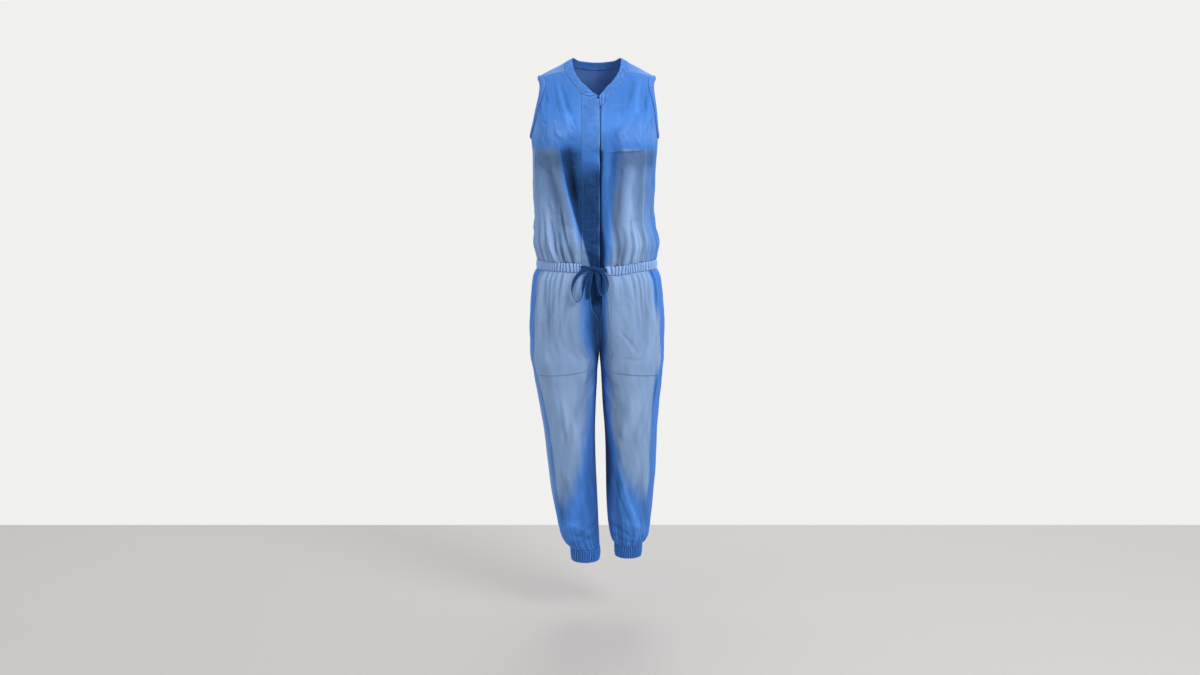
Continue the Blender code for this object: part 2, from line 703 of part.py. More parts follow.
def pocket(side, name):
    """A patch laid on the trouser front; its hand opening slants in from the side seam."""
    rows = trouser_rows(side, True)
    if side < 0:
        rows = [row[::-1] for row in rows]
    rows = raised(rows, CLOTH + 0.0008)
    if side < 0:
        rows = [row[::-1] for row in rows]
    rows[0] = [tuple(mix(a, b, 0.12) for a, b in zip(*pair)) for pair in zip(rows[0], rows[1])]
    patch = []
    for row in rows[: PATCH_ROW + 1]:
        opening = mix(0.05, 0.75, min(max((WAIST_LOW - row[-1][2]) / 0.115, 0.0), 1.0))
        edge = tuple(mix(a, b, opening) for a, b in zip(row[-2], row[-1]))
        line = row[PATCH_COLUMN:-1] + [edge]
        patch.append(line if side > 0 else line[::-1])
    return cloth(name, patch, CLOTH, "pocket")


def cuff(side, name):
    """A gathered band round the ankle."""
    rows = []
    for share, out in ((0.0, 0.0), (0.5, 0.0018), (1.0, -0.0008)):
        level = mix(CUFF_TOP[side] - SEAM, CUFF_LOW[side], share)
        row = []
        for c in range(36):
            turn = 10.0 * c
            x, y, z = leg(side, turn, level)
            row.append(pushed((x, y, z), side * turn, out + 0.0009 * (-1) ** c))
        rows.append(row if side > 0 else row[::-1])
    return cloth(name, rows, DOUBLE, "cuff", closed=True)


# ---------------------------------------------------------------- tie and button
# The tie is a flat strip. It comes out of the casing on both sides and is tied in a bow over the
# placket. At the knot its strands lie in layers, and the loops turn on edge where they bend.
FRONT = Vector((0.0, -1.0, 0.0))
TIE_WIDTH = 0.0110
TIE_WALL = 0.0015
PINCHED = 0.0054  # width of a strand drawn into the knot
LAYER = 0.0020  # from one strand to the next one in front of it at the knot
NEAR = 0.0003
KNOT_HALF = Vector((0.0085, 0.0055, 0.0070))
KNOT_OUT = 0.0018 + NEAR + KNOT_HALF.y
Place = namedtuple("Place", "x y z twist width")


def hung(x, level, out, twist=0):
    """A place on a strand in front of the body; a twist of 90 turns the strip's edge to the front."""
    turn = turn_at(x, level)
    return Place(*pushed(torso(turn, level), turn, out), twist, TIE_WIDTH)


KNOT = Vector(hung(-0.0075, -0.5610, KNOT_OUT)[:3])
ON_CASING = 0.0030 + NEAR + TIE_WALL / 2
# Each strand by its layer where it leaves the knot, its way, and its layer if it returns there.
Strand = namedtuple("Strand", "layer way back_layer")
STRANDS = {
    "tie_feed_right": Strand(0, (
        hung(-0.0300, -0.5605, 0.0055),
        hung(-0.0450, -0.5612, ON_CASING),
    ), None),
    "tie_feed_left": Strand(0, (
        hung(0.0130, -0.5665, 0.0058),
        hung(0.0265, -0.5690, ON_CASING),
    ), None),
    "tie_loop_right": Strand(2, (
        hung(-0.0310, -0.5660, 0.0090, 10),
        hung(-0.0520, -0.5840, 0.0085, 30),
        hung(-0.0635, -0.6130, 0.0105, 60),
        hung(-0.0610, -0.6380, 0.0118, 85),
        hung(-0.0500, -0.6510, 0.0122, 90),
        hung(-0.0395, -0.6380, 0.0118, 95),
        hung(-0.0340, -0.6130, 0.0110, 130),
        hung(-0.0260, -0.5860, 0.0085, 165),
    ), 1),
    "tie_loop_left": Strand(2, (
        hung(0.0130, -0.5710, 0.0090, -10),
        hung(0.0250, -0.5900, 0.0090, -35),
        hung(0.0290, -0.6100, 0.0105, -65),
        hung(0.0245, -0.6280, 0.0118, -85),
        hung(0.0160, -0.6345, 0.0122, -90),
        hung(0.0085, -0.6250, 0.0118, -100),
        hung(0.0065, -0.6040, 0.0105, -140),
        hung(0.0040, -0.5850, 0.0085, -170),
    ), 1),
    "tie_end_right": Strand(0, (
        hung(-0.0165, -0.5850, 0.0045),
        hung(-0.0215, -0.6130, 0.0030),
        hung(-0.0235, -0.6430, 0.0030),
    ), None),
    "tie_end_left": Strand(0, (
        hung(0.0015, -0.5850, 0.0045),
        hung(0.0055, -0.6130, 0.0030),
        hung(0.0090, -0.6370, 0.0030),
    ), None),
}


def tied(beside, layer):
    """Where a strand enters the knot, coming straight from the place beside it."""
    toward = Vector((beside.x - KNOT.x, 0.0, beside.z - KNOT.z)).normalized()
    out = (layer - 1) * LAYER
    reach = math.sqrt(1 - (max(abs(out) - TIE_WALL / 2, 0.0) / KNOT_HALF.y) ** 2)
    edge = reach / math.hypot(toward.x / KNOT_HALF.x, toward.z / KNOT_HALF.z)
    point = KNOT + toward * (edge + NEAR) + FRONT * out
    return Place(*point, 180 * round(beside.twist / 180), PINCHED)


def eased(route, steps):
    """A smooth line through the places of a route."""
    line = []
    for i in range(len(route) - 1):
        around = route[max(i - 1, 0)], route[i], route[i + 1], route[min(i + 2, len(route) - 1)]
        for s in range(steps):
            line.append(Place(*(
                cubic(b, c, (c - a) / 2, (d - b) / 2, s / steps) for a, b, c, d in zip(*around)
            )))
    return line + [route[-1]]


def strand(name):
    layer, way, back_layer = STRANDS[name]
    route = (tied(way[0], layer),) + way
    if back_layer is not None:
        route += (tied(way[-1], back_layer),)
    line = eased(route, 3)
    edges = [], []
    for i, place in enumerate(line):
        before, after = line[max(i - 1, 0)], line[min(i + 1, len(line) - 1)]
        onward = (Vector(after[:3]) - Vector(before[:3])).normalized()
        flat = onward.cross(FRONT).normalized()
        wide = Matrix.Rotation(math.radians(place.twist), 3, onward) @ flat
        face = Vector(place[:3]) + wide.cross(onward) * TIE_WALL / 2
        for edge, way in zip(edges, (-1, +1)):
            edge.append(tuple(face + wide * way * place.width / 2))
    return cloth(name, edges, TIE_WALL, "tie")


def turned(name, profile, place, out, widened, colour):
    """A small solid of revolution about an axis that points out of the front."""
    mesh = bpy.data.meshes.new(name)
    mesh.from_pydata([(r, 0.0, up) for r, up in profile], [(i, i + 1) for i in range(len(profile) - 1)], [])
    piece = keep(bpy.data.objects.new(name, mesh), colour)
    screw = piece.modifiers.new("turn", "SCREW")
    screw.axis = "Z"
    screw.steps = screw.render_steps = 16
    screw.use_merge_vertices = True
    screw.merge_threshold = 0.00001
    screw.use_normal_calculate = True
    piece.rotation_euler = out.to_track_quat("Z", "Y").to_euler()
    piece.scale = (widened, 1.0, 1.0)
    piece.location = place
    return piece


def knot():
    profile = [(0.0, -KNOT_HALF.y)]
    for rise in range(-70, 90, 20):
        angle = math.radians(rise)
        profile.append((KNOT_HALF.z * math.cos(angle), KNOT_HALF.y * math.sin(angle)))
    profile.append((0.0, KNOT_HALF.y))
    turned("tie_knot", profile, KNOT, FRONT, KNOT_HALF.x / KNOT_HALF.z, "tie")


BUTTON_X = 0.0165
BUTTON_LEVEL = -0.1105
BUTTON_PROFILE = (
    (0.0, 0.0), (0.0040, 0.0), (0.0045, 0.0006), (0.0045, 0.0014), (0.0036, 0.0020), (0.0, 0.0020),
)


def button():
    """It lies on the left end of the neckband."""
    here, lower, beyond = (
        Vector(torso(turn_at(x, level), level))
        for x, level in (
            (BUTTON_X, BUTTON_LEVEL),
            (BUTTON_X, BUTTON_LEVEL - 0.004),
            (BUTTON_X + 0.004, BUTTON_LEVEL),
        )
    )
    out = (lower - here).cross(beyond - here).normalized()
    turned("neck_button", BUTTON_PROFILE, here + out * NEAR / 2, out, 1.0, "button")


def main():
    clear()
    yoke()
    front(-1, "front_right")
    front(+1, "front_left")
    back()
    neckband()
    placket_over()
    placket_under()
    binding(-1, "armhole_binding_right")
    binding(+1, "armhole_binding_left")
    casing(-1, "waist_casing_right")
    casing(+1, "waist_casing_left")
    for side, word in ((-1, "right"), (+1, "left")):
        trouser_front(side, "trouser_front_" + word)
        trouser_back(side, "trouser_back_" + word)
        pocket(side, "pocket_" + word)
        cuff(side, "cuff_" + word)
    for name in STRANDS:
        strand(name)
    knot()
    button()


main()
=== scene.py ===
"""Looks of a sleeveless chambray jumpsuit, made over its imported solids.

Metres, +Z up. The front faces -Y and the wearer's left is +X; the origin is midway between the neck
points. A turn is an angle in degrees with 0 in front: 90 is the wearer's left on the body, and the
outer side on either leg.
"""

import math
from collections import namedtuple

import bpy
import numpy as np
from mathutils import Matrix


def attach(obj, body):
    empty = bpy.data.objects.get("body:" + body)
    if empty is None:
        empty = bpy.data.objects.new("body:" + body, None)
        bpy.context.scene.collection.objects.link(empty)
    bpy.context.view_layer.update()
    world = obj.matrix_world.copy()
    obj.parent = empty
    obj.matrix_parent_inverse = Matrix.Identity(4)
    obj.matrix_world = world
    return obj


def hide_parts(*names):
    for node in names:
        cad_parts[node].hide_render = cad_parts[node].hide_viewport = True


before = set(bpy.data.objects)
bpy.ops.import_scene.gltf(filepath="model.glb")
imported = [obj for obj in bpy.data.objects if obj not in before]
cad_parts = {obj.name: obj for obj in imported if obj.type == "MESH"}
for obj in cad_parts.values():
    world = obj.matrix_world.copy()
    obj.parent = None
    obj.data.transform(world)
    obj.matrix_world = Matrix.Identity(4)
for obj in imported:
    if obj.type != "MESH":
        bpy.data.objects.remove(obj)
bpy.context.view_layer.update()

# ---------------------------------------------------------------- camera, floor and light
# The whole garment from the front, a little from above, over a plain pale floor. The light is that
# of a bright room, with one broad lamp high in front on the picture's right, a weaker one behind and
# a faint one on the left.
CAMERA_PLACE = (0.009, -3.85, -0.06)
CAMERA_DIP = 10.5
CAMERA_LENS = 41.52
FLOOR_LEVEL = -1.59
FLOOR_BACK = 0.80
FLOOR_SIZE = 9.0
ROOM_FRONT = 0.36
ROOM_BACK = 0.88
ROOM_TOP = 0.55
Lamp = namedtuple("Lamp", "place aim size power")
LAMPS = (
    Lamp((2.3, -2.3, 1.7), (0.0, 0.0, -0.6), 1.5, 78.0),
    Lamp((-2.2, -1.6, 0.3), (0.0, 0.0, -0.8), 1.8, 7.0),
    Lamp((0.4, 2.4, 1.4), (0.0, 0.0, -0.5), 1.6, 26.0),
)

camera = bpy.data.objects.new("camera", bpy.data.cameras.new("camera"))
camera.data.lens = CAMERA_LENS
camera.location = CAMERA_PLACE
camera.rotation_euler = (math.radians(90 - CAMERA_DIP), 0.0, 0.0)
bpy.context.collection.objects.link(camera)
bpy.context.scene.camera = camera
bpy.context.scene.view_settings.view_transform = "Standard"

for number, lamp in enumerate(LAMPS):
    light = bpy.data.lights.new(f"lamp_{number}", "AREA")
    light.size = lamp.size
    light.energy = lamp.power
    holder = bpy.data.objects.new(f"lamp_{number}", light)
    holder.location = lamp.place
    away = np.array(lamp.place) - np.array(lamp.aim)
    holder.rotation_euler = (
        math.atan2(math.hypot(away[0], away[1]), away[2]),
        0.0,
        math.atan2(away[0], -away[1]),
    )
    bpy.context.collection.objects.link(holder)


def node(tree, kind, inputs, output=0, **settings):
    """A shader node with its inputs set or linked; gives one of its outputs."""
    made = tree.nodes.new(kind)
    for name, value in settings.items():
        setattr(made, name, value)
    for name, value in inputs.items():
        if isinstance(value, bpy.types.NodeSocket):
            tree.links.new(value, made.inputs[name])
        else:
            made.inputs[name].default_value = value
    return made.outputs[output]


def surface(name):
    """A new material, its node tree and its shader."""
    material = bpy.data.materials.new(name)
    material.use_nodes = True
    return material, material.node_tree, material.node_tree.nodes["Principled BSDF"]


def ranged(tree, value, low, high, to_low, to_high):
    """The value moved from one range to another and kept within it."""
    inputs = {"Value": value, "From Min": low, "From Max": high, "To Min": to_low, "To Max": to_high}
    return node(tree, "ShaderNodeMapRange", inputs)


def blend(tree, factor, low, high):
    """A colour between two others, at a factor from 0 to 1."""
    return node(tree, "ShaderNodeMix", {0: factor, 6: low, 7: high}, output=2, data_type="RGBA")


room = bpy.data.worlds.new("room")
room.use_nodes = True
sky = room.node_tree.nodes["Background"]
direction = node(room.node_tree, "ShaderNodeTexCoord", {}, output="Generated")
backward, upward = (
    node(room.node_tree, "ShaderNodeSeparateXYZ", {"Vector": direction}, output=axis) for axis in (1, 2)
)
wall_light = ranged(room.node_tree, backward, -0.5, 0.3, ROOM_FRONT, ROOM_BACK)
ceiling_light = ranged(room.node_tree, upward, 0.2, 0.9, 0.0, ROOM_TOP)
strength = node(room.node_tree, "ShaderNodeMath", {0: wall_light, 1: ceiling_light}, operation="ADD")
sky.inputs["Color"].default_value = (1.0, 0.995, 0.985, 1.0)
room.node_tree.links.new(strength, sky.inputs["Strength"])
bpy.context.scene.world = room

bpy.ops.mesh.primitive_plane_add(size=1.0, location=(0.0, FLOOR_BACK - FLOOR_SIZE / 2, FLOOR_LEVEL))
floor = bpy.context.object
floor.name = "floor"
floor.scale = (FLOOR_SIZE * 2, FLOOR_SIZE, 1.0)
floor_paint, tree, shader = surface("floor_paint")
patches = node(tree, "ShaderNodeTexNoise", {"Scale": 3.0, "Detail": 3.0})
tone = ranged(tree, patches, 0.0, 1.0, 0.40, 0.45)
grey = blend(tree, tone, (0.0, 0.0, 0.0, 1.0), (1.0, 0.97, 0.95, 1.0))
tree.links.new(grey, shader.inputs["Base Color"])
shader.inputs["Roughness"].default_value = 0.6
floor.data.materials.append(floor_paint)

# ---------------------------------------------------------------- the body the cloth hangs on
# Half width and depths of the outer cloth, level by level; square is the power of the rounded
# section. The cloth hangs on these from the shoulder line down to the hips.
Ring = namedtuple("Ring", "level shift half front back square")
TORSO = (
    Ring(0.040, 0.000, 0.152, 0.046, 0.060, 3.6),
    Ring(-0.050, 0.000, 0.158, 0.070, 0.078, 4.6),
    Ring(-0.100, 0.000, 0.164, 0.089, 0.092, 3.6),
    Ring(-0.160, -0.003, 0.173, 0.110, 0.101, 2.7),
    Ring(-0.205, -0.006, 0.175, 0.122, 0.103, 2.4),
    Ring(-0.250, -0.005, 0.171, 0.121, 0.101, 2.4),
    Ring(-0.340, -0.008, 0.169, 0.112, 0.094, 2.4),
    Ring(-0.440, -0.006, 0.166, 0.108, 0.091, 2.4),
    Ring(-0.500, -0.001, 0.175, 0.116, 0.101, 2.4),
    Ring(-0.535, 0.000, 0.167, 0.109, 0.094, 2.35),
    Ring(-0.549, 0.000, 0.165, 0.104, 0.089, 2.3),
    Ring(-0.573, 0.000, 0.166, 0.104, 0.089, 2.3),
    Ring(-0.600, 0.000, 0.177, 0.113, 0.100, 2.35),
    Ring(-0.650, 0.000, 0.184, 0.120, 0.114, 2.4),
    Ring(-0.720, 0.001, 0.190, 0.123, 0.125, 2.4),
    Ring(-0.790, 0.001, 0.191, 0.121, 0.126, 2.4),
    Ring(-0.860, 0.001, 0.188, 0.118, 0.120, 2.4),
)
# The shoulder line's height, by the distance from the middle.
Shoulder = namedtuple("Shoulder", "aside height")
SHOULDER = (
    Shoulder(0.200, -0.072),
    Shoulder(0.165, -0.052),
    Shoulder(0.125, -0.030),
    Shoulder(0.090, -0.012),
    Shoulder(0.065, 0.002),
    Shoulder(0.030, 0.032),
    Shoulder(0.000, 0.046),
)
# Above this level front and back lean together to meet on the shoulder line.
ARCH = -0.170
ARCH_SQUARE = 2.2


def cubic(start, end, start_slope, end_slope, t):
    """A value eased from start to end, with the slope it has at each."""
    return (
        start * (2 * t**3 - 3 * t**2 + 1)
        + end * (3 * t**2 - 2 * t**3)
        + start_slope * (t**3 - 2 * t**2 + t)
        + end_slope * (t**3 - t**2)
    )


def at(table, level):
    """A table's columns at any levels, eased between its rows."""
    columns = np.array(table).T
    keys = columns[0]
    level = np.clip(level, keys[-1], keys[0])
    low = np.clip(np.searchsorted(-keys, -level), 1, len(keys) - 1)
    high = low - 1
    above, below = np.maximum(high - 1, 0), np.minimum(low + 1, len(keys) - 1)
    span = keys[low] - keys[high]
    t = (level - keys[high]) / span
    values = []
    for column in columns:
        high_slope = (column[low] - column[above]) / (keys[low] - keys[above]) * span
        low_slope = (column[below] - column[high]) / (keys[below] - keys[high]) * span
        values.append(cubic(column[high], column[low], high_slope, low_slope, t))
    return type(table[0])(*values)


def powered(value, power):
    """A value raised to a power, with its sign kept."""
    return np.sign(value) * np.abs(value) ** power


def mix(a, b, t):
    """From a to b by a share t."""
    return a + (b - a) * t


def wrapped(turn):
    """The same turn between -180 and 180."""
    return (turn + 180) % 360 - 180


def eased_step(low, high, value):
    """0 at low, 1 at high and smooth between; low may be the greater."""
    t = np.clip((value - low) / (high - low), 0.0, 1.0)
    return t * t * (3 - 2 * t)


def hump(value, middle, half):
    """1 at the middle, falling softly to nothing on both sides."""
    return np.exp(-(((value - middle) / half) ** 2))


def sine(degrees):
    """Of an angle in degrees."""
    return np.sin(np.radians(degrees))


def cosine(degrees):
    """Of an angle in degrees."""
    return np.cos(np.radians(degrees))


def arch(x, level):
    """How much of its depth the body keeps, falling to nothing on the shoulder line."""
    rise = np.maximum(level - ARCH, 0.0) / (at(SHOULDER, np.abs(x)).height - ARCH)
    return np.maximum(1.0 - np.minimum(rise, 1.0) ** ARCH_SQUARE, 0.0) ** (1 / ARCH_SQUARE)


def torso(turn, level):
    """Points on the body's skin."""
    ring = at(TORSO, level)
    x = ring.half * powered(sine(turn), 2 / ring.square)
    face = powered(cosine(turn), 2 / ring.square)
    depth = np.where(face > 0, ring.front, ring.back)
    return np.stack(np.broadcast_arrays(ring.shift + x, -depth * face * arch(x, level), level), -1)


def turn_at(x, level, back=False):
    """The turn at which the body's front, or back, has this distance from the middle."""
    ring = at(TORSO, level)
    share = np.minimum(np.abs(x - ring.shift) / ring.half, 1.0) ** (ring.square / 2)
    turn = np.degrees(np.arcsin(share))
    return np.copysign(180 - turn if back else turn, x - ring.shift)


def pushed(points, turn, out):
    """Points moved out from the body."""
    turn, out = np.broadcast_arrays(turn, out)
    return points + out[..., None] * np.stack((sine(turn), -cosine(turn), 0 * turn), -1)


def between(rows, steps):
    """The rows with more between them, on smooth curves through them."""
    rows = np.array(rows, dtype=float)
    around = np.concatenate((rows[:1], rows, rows[-1:]))
    finer = []
    for a, b, c, d in zip(around, around[1:], around[2:], around[3:]):
        finer += [cubic(b, c, (c - a) / 2, (d - b) / 2, s / steps) for s in range(steps)]
    return np.array(finer + [rows[-1]])


# ---------------------------------------------------------------- tie
# A flat strip of the garment's cloth, about 11 mm wide, folded and stitched. It comes out of the
# waist casing at both sides of the placket and is tied there in a bow with two loops and two ends.
TIE_WIDTH = 0.0110
TIE_WALL = 0.0015
PINCHED = 0.0054  # the strip's width where the knot draws it in
LAYER = 0.0020  # from one strip to the next inside the knot
NEAR = 0.0003
FRONT = np.array((0.0, -1.0, 0.0))
KNOT_HALF = np.array((0.0085, 0.0055, 0.0070))
EDGE_STITCH = 0.0013
THREAD_PITCH = 0.00055
# The darkest blue is raw indigo and also painted shadow: it is used where the cloth lies in shade, in the
# opening below the bust, on the placket and fly below it and on the inner legs.
RAW_AND_SHADOW = (0.002, 0.018, 0.075)
DEEP = (0.066, 0.238, 0.720)
PALE = (0.305, 0.455, 0.715)


def chambray(name):
    """Plain weave of a blue warp and a white weft: raw indigo, then deep, then pale with wear.

    The fade attribute runs from -1, raw, through 0, deep, to 1, pale; its darkest values are partly raw
    indigo and partly painted shade. Rise is -1 at the bottom of a fold and 1 on a ridge: the colour is
    darkened at the bottom of a fold as painted shade and lightened on a ridge as painted highlight; edge
    is 1 at a rubbed edge.
    """
    material, tree, shader = surface(name)
    place = node(tree, "ShaderNodeUVMap", {}, uv_map="cloth")
    fade, rise, edge = (
        node(tree, "ShaderNodeAttribute", {}, output="Fac", attribute_name=word)
        for word in ("fade", "rise", "edge")
    )

    def sums(*terms):
        """Adds up (factor, value) terms."""
        total = 0.0
        for factor, value in terms:
            inputs = {0: value, 1: factor, 2: total}
            total = node(tree, "ShaderNodeMath", inputs, operation="MULTIPLY_ADD")
        return total

    def streaks(across, down, detail, distortion=0.0):
        """Noise about 0, so many streaks to a metre across and down."""
        vector = node(tree, "ShaderNodeMapping", {"Vector": place, "Scale": (across, down, 1.0)})
        inputs = {"Vector": vector, "Scale": 1.0, "Detail": detail, "Distortion": distortion}
        noise = node(tree, "ShaderNodeTexNoise", inputs)
        return node(tree, "ShaderNodeMath", {0: noise, 1: 0.5}, operation="SUBTRACT")

    across, down = (
        node(tree, "ShaderNodeSeparateXYZ", {"Vector": place}, output=axis) for axis in (0, 1)
    )
    warp, weft = (
        node(tree, "ShaderNodeMath", {0: sums((2 * math.pi / THREAD_PITCH, way))}, operation="SINE")
        for way in (across, down)
    )
    weave = node(tree, "ShaderNodeMath", {0: warp, 1: weft}, operation="MULTIPLY")
    warp_slubs = streaks(900.0, 45.0, 2.0)
    weft_slubs = streaks(60.0, 800.0, 2.0)
    cloud = streaks(26.0, 14.0, 4.0, 0.4)
    specks = ranged(tree, streaks(420.0, 420.0, 2.0), -0.10, 0.12, 0.0, 1.0)
    rubbed = node(tree, "ShaderNodeMath", {0: edge, 1: specks}, operation="MULTIPLY")
    uneven = ((0.22, cloud), (0.42, warp_slubs), (0.22, weft_slubs))
    # worn: the fade with real unevenness and rubbed edges, plus rise, which pales the ridges as painted
    # highlight.
    worn = sums((1.0, fade), *uneven, (0.10, rise), (0.38, rubbed))
    colour = blend(tree, ranged(tree, worn, -1.0, 0.0, 0.0, 1.0), (*RAW_AND_SHADOW, 1.0), (*DEEP, 1.0))
    colour = blend(tree, ranged(tree, worn, 0.0, 1.0, 0.0, 1.0), colour, (*PALE, 1.0))
    # Painted shade and highlight: the colour is multiplied by 0.52 at the bottom of a fold up to 1.28 on a
    # ridge.
    shade_and_highlight = ranged(tree, rise, -1.0, 1.0, 0.52, 1.28)
    lit = node(tree, "ShaderNodeMath", {0: shade_and_highlight, 1: sums((0.10, weave), (1.0, 1.0))}, operation="MULTIPLY")
    lit = node(tree, "ShaderNodeCombineXYZ", {0: lit, 1: lit, 2: lit})
    colour = node(tree, "ShaderNodeVectorMath", {0: colour, 1: lit}, operation="MULTIPLY")
    tree.links.new(colour, shader.inputs["Base Color"])
    shader.inputs["Roughness"].default_value = 0.86
    shader.inputs["Specular IOR Level"].default_value = 0.12
    shader.inputs["Sheen Weight"].default_value = 0.04
    shader.inputs["Sheen Roughness"].default_value = 0.45
    pucker = node(tree, "ShaderNodeMath", {0: sums((950.0, across), (950.0, down))}, operation="SINE")
    pucker = node(tree, "ShaderNodeMath", {0: edge, 1: pucker}, operation="MULTIPLY")
    crumple = streaks(150.0, 110.0, 3.0, 0.6)
    height = sums((0.05, weave), (0.28, warp_slubs), (0.16, weft_slubs), (0.30, pucker), (1.1, crumple))
    bump = node(tree, "ShaderNodeBump", {"Strength": 0.6, "Distance": 0.0008, "Height": height})
    tree.links.new(bump, shader.inputs["Normal"])
    return material


def puffs(phase, sharp):
    """Round ridges with narrow hollows between them, one for each turn of the phase, -1 to 1."""
    return 2 * np.abs(np.cos(phase / 2)) ** sharp - 1


def along_grid(points, axis):
    """Distance walked from the first row or column of a grid of points."""
    steps = np.linalg.norm(np.diff(points, axis=axis), axis=-1)
    start = np.zeros_like(points[..., 0]).take([0], axis)
    return np.concatenate((start, np.cumsum(steps, axis)), axis)


def normals_of(points):
    """Unit normals of a grid of points."""
    down, across = np.gradient(points, axis=0), np.gradient(points, axis=1)
    normals = np.cross(down, across)
    return normals / np.maximum(np.linalg.norm(normals, axis=-1, keepdims=True), 1e-12)


def cloth(name, points, material, slot, wall, fade=0.0, rise=0.0, rubbed="tblr", wear=0.005):
    """A shell from a grid of outer points, rows down and columns round with the turn.

    Rubbed names its worn sides by t, b, l and r. With a wall of 0 the grid itself is the skin.
    """
    rows, columns = points.shape[:2]
    index = np.arange(rows * columns).reshape(rows, columns)
    corners = (index[:-1, :-1], index[1:, :-1], index[1:, 1:], index[:-1, 1:])
    faces = np.stack(corners, -1).reshape(-1, 4)
    mesh = bpy.data.meshes.new(name)
    mesh.from_pydata(points.reshape(-1, 3).tolist(), [], faces.tolist())
    across, down = along_grid(points, 1), along_grid(points, 0)
    place = np.stack((across - across[:, columns // 2][:, None], -down), -1).reshape(-1, 2)
    layer = mesh.uv_layers.new(name="cloth")
    layer.uv.foreach_set("vector", place[faces.ravel()].ravel())
    gaps = {"l": across, "r": across[:, -1:] - across, "t": down, "b": down[-1:] - down}
    nearest = np.min([gaps[side] for side in rubbed] or [down + 1.0], axis=0)
    for attribute, values in (("fade", fade), ("edge", np.exp(-nearest / wear)), ("rise", rise)):
        values = np.broadcast_to(values, (rows, columns)).astype(np.float32).ravel()
        mesh.attributes.new(attribute, "FLOAT", "POINT").data.foreach_set("value", values)
    mesh.shade_smooth()
    mesh.materials.append(material)
    piece = bpy.data.objects.new(name, mesh)
    bpy.context.collection.objects.link(piece)
    if wall:
        shell = piece.modifiers.new("wall", "SOLIDIFY")
        shell.thickness = wall
        shell.offset = -1.0
    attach(piece, "root")
    return piece


def seam_line(points, side, inset):
    """Points and normals along one side of a grid, a little inside it."""
    both = np.concatenate((points, normals_of(points)), -1)
    if side in "lr":
        both = both.swapaxes(0, 1)
    if side in "rb":
        both = both[::-1]
    reach = along_grid(both[..., :3], 0)
    return np.array([
        [np.interp(inset, reach[:, i], both[:, i, k]) for k in range(6)] for i in range(both.shape[1])
    ])


STITCH = 0.0024
STITCH_PITCH = 0.0034
STITCH_HALF = 0.00026
NUDGE = 0.0005  # to both sides of a stitch, to find its direction


def walk(line, walked, places):
    """The points and normals at places walked along a line."""
    return np.stack([np.interp(places, walked, column) for column in line.T], -1)


def stitched(name, lines, material):
    """Rows of stitches: each is a small grain of thread lying along its line."""
    vertices, faces = [], []
    for line in lines:
        walked = along_grid(line[:, None, :3], 0)[:, 0]
        count = max(int(walked[-1] / STITCH_PITCH), 1)
        middles = (np.arange(count) + 0.5) * walked[-1] / count
        centre, lift = np.split(walk(line, walked, middles), 2, axis=-1)
        onward = (walk(line, walked, middles + NUDGE) - walk(line, walked, middles - NUDGE))[:, :3]
        onward /= np.linalg.norm(onward, axis=-1, keepdims=True)
        aside = np.cross(lift, onward)
        for spot, up, along, wide in zip(centre, lift, onward, aside):
            first = len(vertices)
            vertices += [
                spot - along * STITCH / 2, spot + along * STITCH / 2,
                spot + wide * STITCH_HALF, spot + up * STITCH_HALF * 1.5,
                spot - wide * STITCH_HALF, spot - up * STITCH_HALF,
            ]
            for a, b in ((2, 3), (3, 4), (4, 5), (5, 2)):
                faces += [(first, first + b, first + a), (first + 1, first + a, first + b)]
    mesh = bpy.data.meshes.new(name)
    mesh.from_pydata([tuple(v) for v in vertices], [], faces)
    mesh.shade_smooth()
    mesh.materials.append(material)
    piece = bpy.data.objects.new(name, mesh)
    bpy.context.collection.objects.link(piece)
    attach(piece, "root")
    return piece


def mottled(name, colour, dark, light, roughness, **noise):
    """One colour in darker and lighter shares of itself, as in twisted thread or moulded plastic."""
    material, tree, shader = surface(name)
    place = node(tree, "ShaderNodeTexCoord", {}, output="Object")
    spots = node(tree, "ShaderNodeTexNoise", {"Vector": place, **noise})
    low, high = ((*(c * share for c in colour), 1.0) for share in (dark, light))
    tree.links.new(blend(tree, spots, low, high), shader.inputs["Base Color"])
    shader.inputs["Roughness"].default_value = roughness
    return material


tie_cloth = chambray("tie_cloth")
blue_thread = mottled(
    "blue_thread", (0.12, 0.29, 0.66), dark=0.72, light=1.15, roughness=0.6, Scale=1800.0, Detail=1.0
)


def hung(x, level, out, twist=0):
    """A place on a strand in front of the body; a twist of 90 turns the strip's edge to the front."""
    turn = turn_at(x, level)
    return (*pushed(torso(turn, level), turn, out), twist, TIE_WIDTH)


